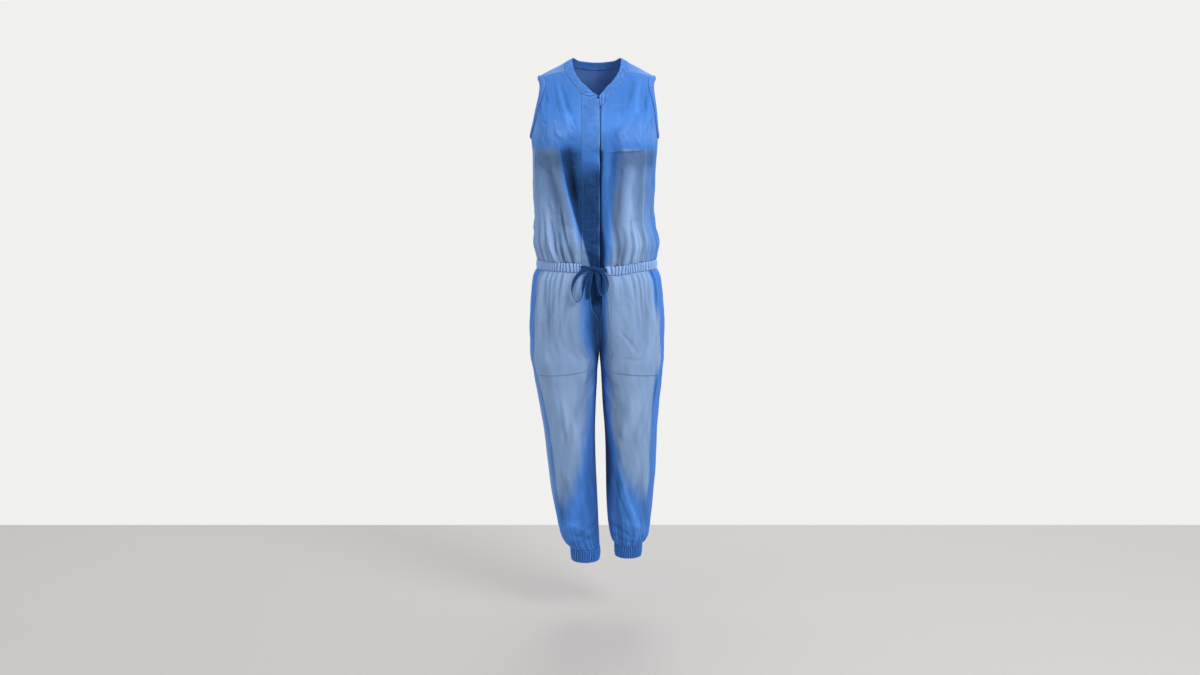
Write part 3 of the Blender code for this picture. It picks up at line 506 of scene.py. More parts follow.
KNOT = np.array(hung(-0.0075, -0.5610, 0.0018 + NEAR + KNOT_HALF[1])[:3])
ON_CASING = 0.0030 + NEAR + TIE_WALL / 2
Strand = namedtuple("Strand", "layer places back_layer")
STRANDS = {
    "tie_feed_right": Strand(0, (
        hung(-0.0300, -0.5605, 0.0055),
        hung(-0.0450, -0.5612, ON_CASING),
    ), None),
    "tie_feed_left": Strand(0, (
        hung(0.0130, -0.5665, 0.0058),
        hung(0.0265, -0.5690, ON_CASING),
    ), None),
    "tie_loop_right": Strand(2, (
        hung(-0.0310, -0.5660, 0.0090, 10),
        hung(-0.0520, -0.5840, 0.0085, 30),
        hung(-0.0635, -0.6130, 0.0105, 60),
        hung(-0.0610, -0.6380, 0.0118, 85),
        hung(-0.0500, -0.6510, 0.0122, 90),
        hung(-0.0395, -0.6380, 0.0118, 95),
        hung(-0.0340, -0.6130, 0.0110, 130),
        hung(-0.0260, -0.5860, 0.0085, 165),
    ), 1),
    "tie_loop_left": Strand(2, (
        hung(0.0130, -0.5710, 0.0090, -10),
        hung(0.0250, -0.5900, 0.0090, -35),
        hung(0.0290, -0.6100, 0.0105, -65),
        hung(0.0245, -0.6280, 0.0118, -85),
        hung(0.0160, -0.6345, 0.0122, -90),
        hung(0.0085, -0.6250, 0.0118, -100),
        hung(0.0065, -0.6040, 0.0105, -140),
        hung(0.0040, -0.5850, 0.0085, -170),
    ), 1),
    "tie_end_right": Strand(0, (
        hung(-0.0165, -0.5850, 0.0045),
        hung(-0.0215, -0.6130, 0.0030),
        hung(-0.0235, -0.6430, 0.0030),
    ), None),
    "tie_end_left": Strand(0, (
        hung(0.0015, -0.5850, 0.0045),
        hung(0.0055, -0.6130, 0.0030),
        hung(0.0090, -0.6370, 0.0030),
    ), None),
}


def tied(beside, layer):
    """Where a strand enters the knot, coming straight from the place beside it."""
    toward = np.array((beside[0] - KNOT[0], 0.0, beside[2] - KNOT[2]))
    toward /= np.linalg.norm(toward)
    out = (layer - 1) * LAYER
    reach = math.sqrt(1 - (max(abs(out) - TIE_WALL / 2, 0.0) / KNOT_HALF[1]) ** 2)
    edge = reach / math.hypot(toward[0] / KNOT_HALF[0], toward[2] / KNOT_HALF[2])
    return (*(KNOT + toward * (edge - NEAR) + FRONT * out), 180 * round(beside[3] / 180), PINCHED)


def strand(name):
    """The strip's outer skin, a flat rounded section swept along the route."""
    layer, places, back_layer = STRANDS[name]
    route = [tied(places[0], layer), *places]
    if back_layer is not None:
        route.append(tied(places[-1], back_layer))
    line = between(route, 10)
    middle, twist, width = line[:, :3], line[:, 3], line[:, 4]
    onward = np.gradient(middle, axis=0)
    onward /= np.linalg.norm(onward, axis=-1, keepdims=True)
    flat = np.cross(onward, FRONT)
    flat /= np.linalg.norm(flat, axis=-1, keepdims=True)
    wide = flat * cosine(twist)[:, None] + np.cross(onward, flat) * sine(twist)[:, None]
    thick = np.cross(wide, onward)
    around = np.linspace(0.0, 360.0, 25)
    walked = along_grid(middle[:, None], 0)[:, 0]
    curl = 0.0005 * np.sin(walked / 0.0085 + len(name))[:, None]
    breadth = powered(cosine(around), 0.30) / 2 * width[:, None]
    depth = powered(sine(around), 0.75) / 2 * TIE_WALL + curl * cosine(around)
    section = middle[:, None] + wide[:, None] * breadth[..., None] + thick[:, None] * depth[..., None]
    strip_fade = -0.88 + 0.95 * np.abs(cosine(around)) ** 8
    piece = cloth(name + "_strip", section[:, ::-1], tie_cloth, "tie", 0.0, strip_fade, rubbed="")
    to_edge = width[:, None] / 2 - EDGE_STITCH
    on_top = middle + thick * (TIE_WALL / 2)
    edges = [np.concatenate((on_top + wide * to_edge * way, thick), -1) for way in (-1, 1)]
    return piece, middle, walked[-1], edges


tilt, clock = np.meshgrid(np.linspace(-90, 90, 25), np.linspace(0, 360, 49), indexing="ij")
wraps = 1.0 + 0.07 * np.abs(cosine(clock + 20)) ** 3 - 0.05 * np.abs(sine(clock * 3 + tilt))
knot_points = KNOT + np.stack((
    KNOT_HALF[0] * wraps * cosine(tilt) * cosine(clock),
    -KNOT_HALF[1] * powered(sine(tilt), 0.8) * wraps,
    KNOT_HALF[2] * wraps * cosine(tilt) * sine(clock),
), -1)
knot = cloth("knot_of_tie", knot_points[::-1], tie_cloth, "tie", 0.0, fade=-0.80, rubbed="")
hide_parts("tie_knot")

tie_edges = []
for name in STRANDS:
    piece, middle, length, edges = strand(name)
    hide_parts(name)
    tie_edges += edges
    if "feed" in name:
        continue
stitched("tie_stitches", tie_edges, blue_thread)

# ---------------------------------------------------------------- neckband
# A collarless band of doubled cloth round the neck, about 20 mm wide and stitched along both edges.
# It narrows to a V in front, where its left end lies lower and carries the button.
CLOTH = 0.0007
DOUBLE = 0.0022
SEAM = 0.0001
# The band's inner and outer edge, each as a distance from the middle and a level.
Neck = namedtuple("Neck", "inner inner_level outer outer_level")
NECK_BACK = (
    Neck(0.000, -0.010, 0.000, -0.031),
    Neck(0.020, -0.009, 0.026, -0.030),
    Neck(0.038, -0.007, 0.050, -0.026),
    Neck(0.054, -0.003, 0.071, -0.020),
)
NECK_TOP = (Neck(0.066, 0.002, 0.086, -0.009),)
NECK_FRONT = (
    Neck(0.0655, -0.012, 0.0880, -0.020),
    Neck(0.0620, -0.027, 0.0845, -0.034),
    Neck(0.0550, -0.043, 0.0760, -0.050),
    Neck(0.0420, -0.061, 0.0600, -0.071),
    Neck(0.0270, -0.075, 0.0430, -0.093),
)
NECK_END = {
    -1: (Neck(0.0120, -0.0885, 0.0200, -0.1010), Neck(-0.0030, -0.0985, 0.0010, -0.1060)),
    +1: (Neck(0.0150, -0.0900, 0.0280, -0.1100), Neck(0.0062, -0.0995, 0.0125, -0.1285)),
}


def lean_at(x, level, back):
    """Place over the shoulder: 0 on the shoulder line, -90 where the arch begins in front."""
    rise = (level - ARCH) / (at(SHOULDER, np.abs(x)).height - ARCH)
    lean = np.degrees(np.arccos(np.clip(rise, 0.0, 1.0) ** (ARCH_SQUARE / 2)))
    return lean if back else -lean


def over(x, lean):
    """Points of the body over the shoulders."""
    top = at(SHOULDER, np.abs(x)).height
    level = ARCH + (top - ARCH) * cosine(lean) ** (2 / ARCH_SQUARE)
    ring = at(TORSO, level)
    face = (1 - np.minimum(np.abs(x) / ring.half, 1.0) ** ring.square) ** (1 / ring.square)
    depth = np.where(lean < 0, ring.front, ring.back)
    y = depth * face * powered(sine(lean), 2 / ARCH_SQUARE)
    return np.stack(np.broadcast_arrays(ring.shift + x, y, level), -1)


def neck_half(side):
    """Inner and outer places over the shoulder, from one end of the band to the back's middle."""
    places = []
    for rows, back in (
        (NECK_END[side][::-1] + NECK_FRONT[::-1], False),
        (NECK_TOP + NECK_BACK[::-1], True),
    ):
        for n in rows:
            inner = (n.inner, lean_at(n.inner, n.inner_level, back))
            places.append((inner, (n.outer, lean_at(n.outer, n.outer_level, back))))
    return between(places, 12)


def neckband():
    """The band from its left end round the back to its right end, puckered most near the ends."""
    share = np.linspace(0.0, 1.0, 11)[:, None]
    halves = []
    for side in (+1, -1):
        inner, outer = neck_half(side).swapaxes(0, 1)
        halves.append(over(side * mix(inner[:, 0], outer[:, 0], share), mix(inner[:, 1], outer[:, 1], share)))
    left, right = halves
    points = np.concatenate((left, right[:, -2::-1]), 1)
    walked = along_grid(points, 1)[len(share) // 2]
    middle = walked[left.shape[1] - 1]
    end = np.minimum(walked, walked[-1] - walked)
    wander = 2.2 * np.sin(walked / 0.0110) + 3 * share + np.sin(3 * share + walked / 0.0170)
    crumple = puffs((walked + 0.012 * share) / 0.0023 + wander, 0.8) * (0.10 + 0.55 * np.exp(-end / 0.060))
    crumple = crumple * (1 + 0.8 * np.sin(walked / 0.0130 + 2 * np.sin(walked / 0.029)))
    crumple = crumple + 0.14 * np.sin(walked / 0.0019 - 5 * share + 3 * np.sin(walked / 0.0057))
    round_over = np.sin(math.pi * share) ** 0.6
    swell = 0.0005 + round_over * (0.0006 + 0.0016 * crumple + 0.0005 * np.sin((walked - middle) / 0.009))
    points = points + normals_of(points) * swell[..., None]
    # The crumples set the rise: painted shade in their creases and painted highlight on their crests.
    rise = crumple * 0.9 - 0.1
    band = cloth("neckband_cloth", points, band_cloth, "band", DOUBLE, 0.05, rise, wear=0.003)
    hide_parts("neckband")
    lines = [seam_line(points, side, 0.0022) for side in "tb"]
    stitched("neckband_stitches", lines, blue_thread)


band_cloth = chambray("band_cloth")
neckband()


def band_edge(side):
    """The band's outer edge in front, as levels from the top and distances from the middle."""
    outer = neck_half(side)[:, 1]
    outer = outer[outer[:, 1] < 0][::-1]
    return over(outer[:, 0], outer[:, 1])[:, 2], outer[:, 0]


# ---------------------------------------------------------------- yoke
# One piece of cloth over both shoulders, from a seam just in front of the shoulder line to a
# double-stitched seam across the back. The fronts and the back hang from it.
ARMHOLE_LEVEL = -0.131
ARMHOLE_FRONT = 0.050
ARMHOLE_BACK = 0.056
ARMHOLE_HIGH = 0.075
ARMHOLE_RADIUS = 0.06  # about, all round
ARMHOLE_SQUARE = 2.3
BINDING = 0.008
YOKE_FRONT = -0.034
YOKE_BACK = -0.118
YOKE_TIP = 164
YOKE_CLOCKS = (164, 172, 180, 190, 204, 222, 240, 263)


def beside(y, level):
    """Distance from the middle of the body's side at a depth and level."""
    ring = at(TORSO, level)
    depth = np.where(y < 0, ring.front, ring.back)
    near, far = np.zeros_like(ring.half), ring.half
    for _ in range(30):
        x = (near + far) / 2
        face = (1 - (x / ring.half) ** ring.square) ** (1 / ring.square)
        inside = depth * face * arch(x, level) > np.abs(y)
        near, far = np.where(inside, x, near), np.where(inside, far, x)
    return near


def armhole(clock, inset):
    """Turn and level on the armhole's oval, left side: clock is 0 at the bottom, 90 in front."""
    wide = np.where(sine(clock) > 0, ARMHOLE_FRONT, ARMHOLE_BACK) + inset
    y = -wide * powered(sine(clock), 2 / ARMHOLE_SQUARE)
    level = ARMHOLE_LEVEL - (ARMHOLE_HIGH + inset) * powered(cosine(clock), 2 / ARMHOLE_SQUARE)
    ring = at(TORSO, level)
    turn = np.degrees(np.arcsin(np.minimum(beside(y, level) / ring.half, 1.0) ** (ring.square / 2)))
    return np.where(y < 0, turn, 180 - turn), level


def armhole_place(clock):
    """A clock on the armhole's seam as a place over the shoulder."""
    turn, level = armhole(clock, BINDING)
    ring = at(TORSO, level)
    x = ring.half * powered(sine(turn), 2 / ring.square)
    return np.array((x, lean_at(x, level, clock > 180 or turn > 90)))


def front_seam(share):
    """The seam in front of the shoulder, from the neckband out to the armhole."""
    levels, xs = band_edge(+1)
    edge = np.interp(-YOKE_FRONT, -levels, xs)
    start, end = np.array((edge, lean_at(edge, YOKE_FRONT, False))), armhole_place(YOKE_TIP)
    return mix(start[0], end[0], share), mix(start[1], end[1], share)


def yoke():
    """The left half from the front seam to the middle of the back, and the same mirrored."""
    stations = neck_half(+1)[::6, 1]
    kept = (over(stations[:, 0], stations[:, 1])[:, 2] > YOKE_FRONT) | (stations[:, 1] > 0)
    neck = [np.array(front_seam(0.0)), *stations[kept]]
    wing = len(YOKE_CLOCKS) - 1
    corner = armhole_place(YOKE_CLOCKS[-1])
    rim = [armhole_place(clock) for clock in YOKE_CLOCKS]
    for step in range(wing + 1, len(neck)):
        x = corner[0] * (len(neck) - 1 - step) / (len(neck) - 1 - wing)
        rim.append((x, lean_at(x, YOKE_BACK, True)))
    inner = between(neck, 8)
    outer = np.concatenate((between(rim[: wing + 1], 8), between(rim[wing:], 8)[1:]))
    share = np.linspace(-0.010, 1.0, 48)[:, None]
    x, lean = (mix(inner[:, k], outer[:, k], share) for k in (0, 1))
    left = over(x, lean)
    points = np.concatenate((left, left[:, -2::-1] * (-1, 1, 1)), 1)
    soft = 0.0006 * np.sin(points[..., 0] / 0.013 + 3 * np.sin(points[..., 1] / 0.03))
    soft *= np.sin(math.pi * share)
    points = points + normals_of(points) * soft[..., None]
    fade = 0.18 + 0.16 * np.sin(math.pi * share)
    # The soft waves set the rise: painted shade in their troughs and painted highlight on their crests.
    piece = cloth("yoke_cloth", points, bodice_cloth, "yoke", CLOTH, fade=fade, rise=soft / 0.0040)
    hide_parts("yoke")
    rows = [seam_line(points, "b", inset) for inset in (0.0016, 0.0060)]
    rows += [seam_line(points, side, 0.0016) for side in "lr"]
    stitched("yoke_stitches", rows, blue_thread)


bodice_cloth = chambray("bodice_cloth")
yoke()

# ---------------------------------------------------------------- armhole bindings
# A bias strip of the same cloth, folded over each armhole's edge and stitched down, 8 mm wide. The
# cut edges of yoke, front and back lie inside it.
OVER_SEAM = 0.0016  # how far it reaches past the seam on to the cloth


def binding(side, word):
    """The strip once round the armhole, from its open edge out past the seam."""
    name = "armhole_binding_" + word
    clock = np.linspace(0.0, 360.0, 241)
    inset = np.linspace(0.0, BINDING + OVER_SEAM, 9)[:, None]
    turn, level = armhole(clock, inset)
    share = inset / inset.max()
    pinch = 0.00014 * np.sin(np.radians(clock) * 58 + 2 * share + 3 * np.sin(np.radians(clock) * 7))
    out = 0.0004 + (0.0009 + pinch) * np.sin(math.pi * share)
    points = pushed(torso(side * turn, level), side * turn, out)
    points = points[:, ::side]
    # The pinches set the rise: painted shade and highlight on the binding's small puckers.
    piece = cloth(name + "_cloth", points, band_cloth, "band", DOUBLE, 0.08, pinch / 0.0008, "tb", 0.0025)
    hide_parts(name)
    stitched(name + "_stitches", [seam_line(points, "b", 0.0016)], blue_thread)


binding(-1, "right")
binding(+1, "left")

# ---------------------------------------------------------------- bodice
# Two fronts and a back of single cloth, blousing over the gathered waist. The washed cloth is bright
# over the chest, with a painted highlight on the bust, and faded below it, with painted shade under
# the bust and in the folds; a long fold drops from the wearer's right bust to the middle.
WAIST_TOP = -0.5495
WAIST_LOW = -0.5730
STRAIGHT_BELOW = -0.240  # the cloth's rows follow the armhole above this level and run level below
FRONT_EDGE = {-1: 0.0410, +1: 0.0102}  # where each front begins beside the middle
# Places on the armhole's seam by its clock, along a front and on round to the back.
FRONT_CLOCKS = (164, 150, 135, 120, 105, 90, 74, 56.5)
UNDER_CLOCKS = (56.5, 42, 28, 14, 0, -16, -32, -50, -68, -83, -96.6)
SIDE_SEAM = float(armhole(UNDER_CLOCKS[0], BINDING)[0])
EDGE_ROW = 0.0018  # from a seam to its first and second row of stitches
SECOND_ROW = 0.0070
SEAM_TURN = 0.10  # from a side seam's line to the cloth, in degrees
SIDE_LEVELS = np.linspace(-0.184, -0.238, 16)  # down the side seam
UNDER_BAND = 0.0010  # how far the fronts run in under the neckband
ARC = 0.0030  # length of one degree of turn round the body

# Creases by their two ends. Depth is out for a ridge and in for a hollow.
Crease = namedtuple("Crease", "turn level to_turn to_level width depth")
BODICE_CREASES = (
    Crease(-32, -0.210, -4, -0.560, 0.0100, 0.0085),
    Crease(-22, -0.215, -5, -0.480, 0.0100, -0.0070),
    Crease(-44, -0.260, -22, -0.560, 0.0150, -0.0060),
    Crease(-58, -0.330, -36, -0.560, 0.0160, 0.0045),
    Crease(9, -0.200, 9, -0.560, 0.0090, 0.0036),
    Crease(19, -0.225, 18, -0.560, 0.0120, -0.0070),
    Crease(32, -0.260, 31, -0.560, 0.0170, 0.0050),
    Crease(46, -0.240, 44, -0.550, 0.0120, -0.0030),
    Crease(150, -0.150, 160, -0.540, 0.0250, 0.0045),
    Crease(176, -0.130, 172, -0.540, 0.0250, -0.0050),
    Crease(-150, -0.160, -158, -0.540, 0.0250, 0.0050),
    Crease(110, -0.240, 128, -0.530, 0.0280, -0.0050),
    Crease(-108, -0.250, -126, -0.530, 0.0280, -0.0050),
    # gathers that run on up from the waist in front
    Crease(-66, -0.440, -54, -0.575, 0.0050, -0.0050),
    Crease(-53, -0.400, -41, -0.575, 0.0050, -0.0054),
    Crease(-42, -0.430, -31, -0.575, 0.0050, -0.0054),
    Crease(-34, -0.460, -26, -0.575, 0.0045, -0.0044),
    Crease(-30, -0.400, -18, -0.575, 0.0050, -0.0054),
    Crease(-48, -0.380, -36, -0.575, 0.0060, 0.0040),
    Crease(-34, -0.360, -22, -0.575, 0.0055, 0.0036),
    Crease(15, -0.400, 17, -0.575, 0.0050, -0.0054),
    Crease(23, -0.450, 22, -0.575, 0.0045, -0.0048),
    Crease(33, -0.410, 29, -0.575, 0.0055, -0.0054),
    Crease(40, -0.440, 37, -0.575, 0.0050, 0.0044),
    Crease(48, -0.430, 45, -0.575, 0.0050, -0.0048),
    # soft pulls from the yoke and the neck
    Crease(-60, -0.050, -58, -0.160, 0.0060, -0.0022),
    Crease(-50, -0.045, -51, -0.150, 0.0080, 0.0018),
    Crease(-20, -0.050, -12, -0.215, 0.0070, -0.0032),
    Crease(-25, -0.060, -17, -0.205, 0.0080, 0.0026),
    Crease(-31, -0.050, -26, -0.170, 0.0070, -0.0018),
    Crease(-15, -0.120, -13, -0.235, 0.0045, 0.0018),
    Crease(21, -0.060, 18, -0.160, 0.0070, -0.0022),
    Crease(28, -0.050, 31, -0.150, 0.0090, 0.0020),
    Crease(43, -0.060, 45, -0.180, 0.0070, -0.0022),
    Crease(60, -0.080, 57, -0.200, 0.0060, -0.0020),
    Crease(66, -0.150, 40, -0.215, 0.0060, -0.0016),
    Crease(-66, -0.150, -42, -0.220, 0.0060, -0.0018),
    # pressed lines on the wearer's left: under the bust, down the side and beside the button
    Crease(8, -0.252, 51, -0.246, 0.0030, -0.0026),
    Crease(8, -0.244, 51, -0.238, 0.0050, 0.0018),
    Crease(51, -0.240, 49, -0.545, 0.0026, 0.0020),
    Crease(4, -0.124, 18, -0.121, 0.0020, -0.0014),
    Crease(27, -0.436, 50, -0.429, 0.0035, -0.0020),
    Crease(-50, -0.300, -34, -0.312, 0.0050, -0.0014),
    # the back, where the yoke and the waist pull the cloth
    Crease(168, -0.130, 170, -0.300, 0.0090, -0.0026),
    Crease(-166, -0.130, -164, -0.330, 0.0090, -0.0026),
    Crease(-174, -0.125, -178, -0.260, 0.0070, 0.0020),
    Crease(140, -0.170, 152, -0.420, 0.0100, -0.0030),
    Crease(-138, -0.180, -148, -0.400, 0.0100, -0.0030),
    Crease(120, -0.210, 150, -0.330, 0.0080, -0.0022),
    Crease(-122, -0.200, -146, -0.300, 0.0080, -0.0024),
    Crease(96, -0.230, 112, -0.350, 0.0080, 0.0026),
    Crease(-94, -0.230, -110, -0.380, 0.0080, 0.0026),
    Crease(84, -0.420, 120, -0.500, 0.0090, 0.0040),
    Crease(-80, -0.430, -118, -0.510, 0.0090, 0.0040),
    Crease(150, -0.440, 144, -0.552, 0.0060, -0.0036),
    Crease(166, -0.420, 162, -0.552, 0.0060, -0.0036),
    Crease(-172, -0.440, -176, -0.552, 0.0060, -0.0036),
    Crease(-156, -0.430, -160, -0.552, 0.0060, -0.0034),
    Crease(-140, -0.450, -142, -0.552, 0.0060, -0.0034),
    Crease(128, -0.450, 126, -0.552, 0.0060, -0.0034),
    Crease(102, -0.460, 104, -0.552, 0.0060, -0.0032),
    Crease(-102, -0.450, -100, -0.552, 0.0060, -0.0032),
    Crease(76, -0.440, 80, -0.552, 0.0060, -0.0034),
    Crease(-74, -0.440, -78, -0.552, 0.0060, -0.0034),
)


def creased(creases, turn, level):
    """How far the creases move the cloth out: soft, steeper on one side and a little wandering."""
    out = np.zeros(np.broadcast(turn, level).shape)
    for number, c in enumerate(creases):
        run, drop = (c.to_turn - c.turn) * ARC, c.to_level - c.level
        length = math.hypot(run, drop)
        aside, below = wrapped(turn - c.turn) * ARC, level - c.level
        share = np.clip((aside * run + below * drop) / length**2, 0.0, 1.0)
        off = (aside * drop - below * run) / length
        off = off + 0.30 * c.width * np.sin(7 * share + 2.4 * number)
        off = np.where(off > 0, off / (c.width * 1.25), off / (c.width * 0.85))
        out += c.depth * np.exp(-off * off) * np.sin(math.pi * share) ** 0.6
    return out


def free(turn):
    """Folds and gathers leave the flat band at the centre front alone."""
    bent = wrapped(turn)
    return np.where(bent < 0, eased_step(-10.5, -15, bent), eased_step(2.5, 8, bent))


def sag(turn, level):
    """The tie pulls the waist down a little on the wearer's left of the middle."""
    return -0.009 * hump(turn, 14, 20) * hump(level, -0.560, 0.060)


def gathered(across, distance):
    """Gathers beside a seam: close and even at the stitching, then fewer, broader and softer."""
    distance = np.maximum(distance, 0.0)
    wander = 1.5 * np.sin(across / 0.0090 + 1) + 0.9 * np.sin(across / 0.0230 + 12 * distance)
    close = puffs(across / 0.0019 + wander, 0.7) * np.exp(-distance / 0.022)
    close = close * (0.30 + 0.70 * eased_step(0.0, 0.006, distance))
    wander = 2.1 * np.sin(across / 0.0190) + 9 * distance * np.sin(across / 0.0310 + 2)
    broad = puffs(across / 0.0038 + wander, 0.8) * np.exp(-distance / 0.060)
    return 0.0020 * close + 0.0036 * broad * (1 - np.exp(-distance / 0.006))


def drape(across, level):
    """The slight unevenness of hanging cloth, longer down than across."""
    slow = np.sin(across / 0.0130 + 2.2 * np.sin(level / 0.055)) * np.sin(level / 0.041 + across / 0.060)
    quick = np.sin(across / 0.0061 + 1.8 * np.sin(level / 0.034 + 1)) * np.sin(level / 0.026 + across / 0.045)
    return 0.0009 * slow + 0.0005 * quick


def crumples(seed, count, turns, levels, lean, depth):
    """Small creases scattered between two turns and two levels, most of them near one lean."""
    chance = np.random.default_rng(seed)
    small = []
    for _ in range(count):
        turn, level = mix(*turns, chance.random()), mix(*levels, chance.random())
        length, tilt = chance.uniform(0.014, 0.050), math.radians(chance.normal(lean, 24))
        run, drop = length * math.sin(tilt) / ARC, length * math.cos(tilt)
        width = chance.uniform(0.0024, 0.0050)
        small.append(Crease(turn, level, turn + run, level - drop, width, depth * chance.uniform(-1, 1)))
    return tuple(small)


BODICE_CREASES += crumples(3, 60, (-62, -14), (-0.06, -0.24), 8, 0.0020)
BODICE_CREASES += crumples(4, 60, (12, 62), (-0.06, -0.24), -8, 0.0020)
BODICE_CREASES += crumples(5, 34, (-24, -13), (-0.12, -0.30), 60, 0.0018)
BODICE_CREASES += crumples(6, 90, (-62, 62), (-0.25, -0.54), 10, 0.0018)
BODICE_CREASES += crumples(7, 130, (66, 294), (-0.15, -0.54), 0, 0.0020)

# Marks that folding and pressing have left: paler lines, a little raised.
PRESSED = (
    Crease(8, -0.246, 52, -0.240, 0.0016, 1.0),
    Crease(51, -0.238, 50, -0.545, 0.0016, 1.0),
    Crease(27, -0.434, 50, -0.428, 0.0014, 0.6),
    Crease(3, -0.123, 22, -0.121, 0.0012, 0.4),
)


def from_armhole(points):
    """How far points of the bodice lie outside the armhole's seam, nothing inside it."""
    y, level = points[..., 1], points[..., 2]
    wide = np.where(y < 0, ARMHOLE_FRONT, ARMHOLE_BACK)
    along, up = np.abs(y / wide), np.abs((level - ARMHOLE_LEVEL) / ARMHOLE_HIGH)
    reach = along**ARMHOLE_SQUARE + up**ARMHOLE_SQUARE
    return np.maximum(ARMHOLE_RADIUS * (reach ** (1 / ARMHOLE_SQUARE) - 1) - BINDING, 0.0)


def bodice(turn, level):
    """Points of the bodice and how far its folds stand out."""
    turn, level = np.broadcast_arrays(turn, level)
    bent = wrapped(turn)
    across = turn * ARC
    out = creased(BODICE_CREASES, bent, level) + gathered(across, level - WAIST_TOP)
    out = (out + 0.0008 * creased(PRESSED, bent, level) + drape(across, level)) * free(turn)
    out = out * eased_step(0.012, 0.030, -0.020 - level)
    points = torso(turn, level)
    out = out * (0.10 + 0.90 * eased_step(0.001, 0.016, from_armhole(points)))
    points = pushed(points, turn, out)
    points[..., 2] += sag(bent, level)
    return points, out


def long_fold(level):
    """The turn of the fold from the wearer's right bust down to the middle."""
    return mix(-31.5, -4.0, (-0.210 - level) / 0.35)


def washed_bodice(turn, level, out):
    """The bodice's fade and rise: bright over the chest, faded and shaded from the bust down."""
    bent = wrapped(turn)
    aside = np.abs(bent)
    down = np.clip((-0.24 - level) / 0.30, 0.0, 1.0)
    beyond = long_fold(level) - bent
    # On the wearer's right, between the long fold and the placket, the cloth is nearly raw: partly deep cloth
    # and partly painted shade in the fold's valley.
    right = mix(mix(-0.55, -0.90, eased_step(0.05, 0.40, down)), 0.20, eased_step(-1.5, 0.5, beyond))
    right = mix(right, mix(0.66, 0.84, down), eased_step(0.5, 5.0, beyond))
    pale_from = mix(23, 12, down)
    # On the wearer's left the strip beside the placket is raw: painted shadow in the gap of the opening.
    left = mix(-1.0, mix(-0.12, -0.45, down), eased_step(3.6, 6.0, bent))
    left = mix(left, mix(0.60, 0.90, down), eased_step(pale_from - 9, pale_from + 1, bent))
    left = mix(left, 0.40, eased_step(49.5, 51.5, bent))
    left = mix(left, 0.08, eased_step(54, 78, bent))
    # chest: the deep blue of the chest with a painted highlight over the bust.
    chest = 0.14 * hump(level, -0.200, 0.032) * eased_step(6, 28, aside) - 0.02
    top = np.where(bent < 0, eased_step(-0.222, -0.256, level), eased_step(-0.236, -0.250, level))
    fade = mix(chest, np.where(bent < 0, right, left), top)
    behind = 0.04 + mix(0.08, 0.60, eased_step(-0.16, -0.32, level)) * eased_step(98, 130, aside)
    fade = mix(fade, behind, eased_step(78, 96, aside))
    fade = fade + 0.45 * creased(PRESSED, bent, level)
    # under is painted shade, taken off the rise: under the bust, over the upper faded zone, in the valley on
    # the wearer's left and at the edge of the opening.
    under = 0.75 * hump(level, -0.268, 0.026) * eased_step(8, 20, aside)
    under = under + 0.40 * top * eased_step(-0.46, -0.34, level) * eased_step(12, 22, aside)
    under = under + 0.60 * top * (1 - 0.6 * down) * hump(bent, pale_from - 4, 6)
    under = under + 0.60 * top * (bent > 0) * eased_step(6, 4, bent)
    # bust is painted highlight on the upper bust, a little darker between the breasts.
    bust = 0.55 * hump(level, -0.165, 0.045)
    bust = bust + 0.45 * hump(level, -0.216, 0.022) * (eased_step(8, 26, aside) - 0.5)
    return fade, np.clip(out / 0.0075 + (bust - under) * eased_step(84, 60, aside), -1.0, 1.0)


def front(side, name):
    """A front from the placket's edge out to the armhole and side seam, and from yoke to waist."""
    c = np.linspace(0.0, 1.0, 71)
    tops = over(*front_seam(c))[:, 2] - SEAM
    turns = turn_at(front_seam(c)[0], tops)
    tip_turn, tip_level = armhole(YOKE_TIP, BINDING)
    levels_of_band, xs_of_band = band_edge(side)
    end_turn = SIDE_SEAM - SEAM_TURN

    def start(level):
        """The turn at which the front begins, at the band or the placket."""
        inner = np.interp(-level, -levels_of_band, xs_of_band) - UNDER_BAND
        inner = np.maximum(inner, FRONT_EDGE[side])
        return side * turn_at(side * inner, level)

    clocks = between([(clock,) for clock in FRONT_CLOCKS], 9)[:, 0]
    below = [(end_turn, low) for low in SIDE_LEVELS]
    edge = np.array(list(zip(*armhole(clocks, BINDING))) + below)
    end, edge_level = edge[:, :1], edge[:, 1:]
    share = (edge_level - STRAIGHT_BELOW) / (tip_level - STRAIGHT_BELOW)
    level = mix(STRAIGHT_BELOW, tops, share)
    turn = mix(start(level), end, c)
    turn += share**3 * (turns - mix(start(tops), tip_turn, c))
    low_level = np.linspace(STRAIGHT_BELOW, WAIST_TOP, 105)[1:, None] + 0 * c
    low_turn = mix(start(low_level), end_turn, c)
    turn = side * np.concatenate((turn, low_turn))
    level = np.concatenate((level, low_level))
    points, out = bodice(turn, level)
    grids = (points, *washed_bodice(turn, level, out))
    points, fade, rise = (grid[:, ::side] for grid in grids)
    piece = cloth(name + "_cloth", points, bodice_cloth, "front", CLOTH, fade, rise)
    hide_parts(name)
    outer = "r" if side > 0 else "l"
    rows = [seam_line(points, outer, inset) for inset in (EDGE_ROW, SECOND_ROW)]
    stitched(name + "_stitches", rows + [seam_line(points, "t", EDGE_ROW)], blue_thread)


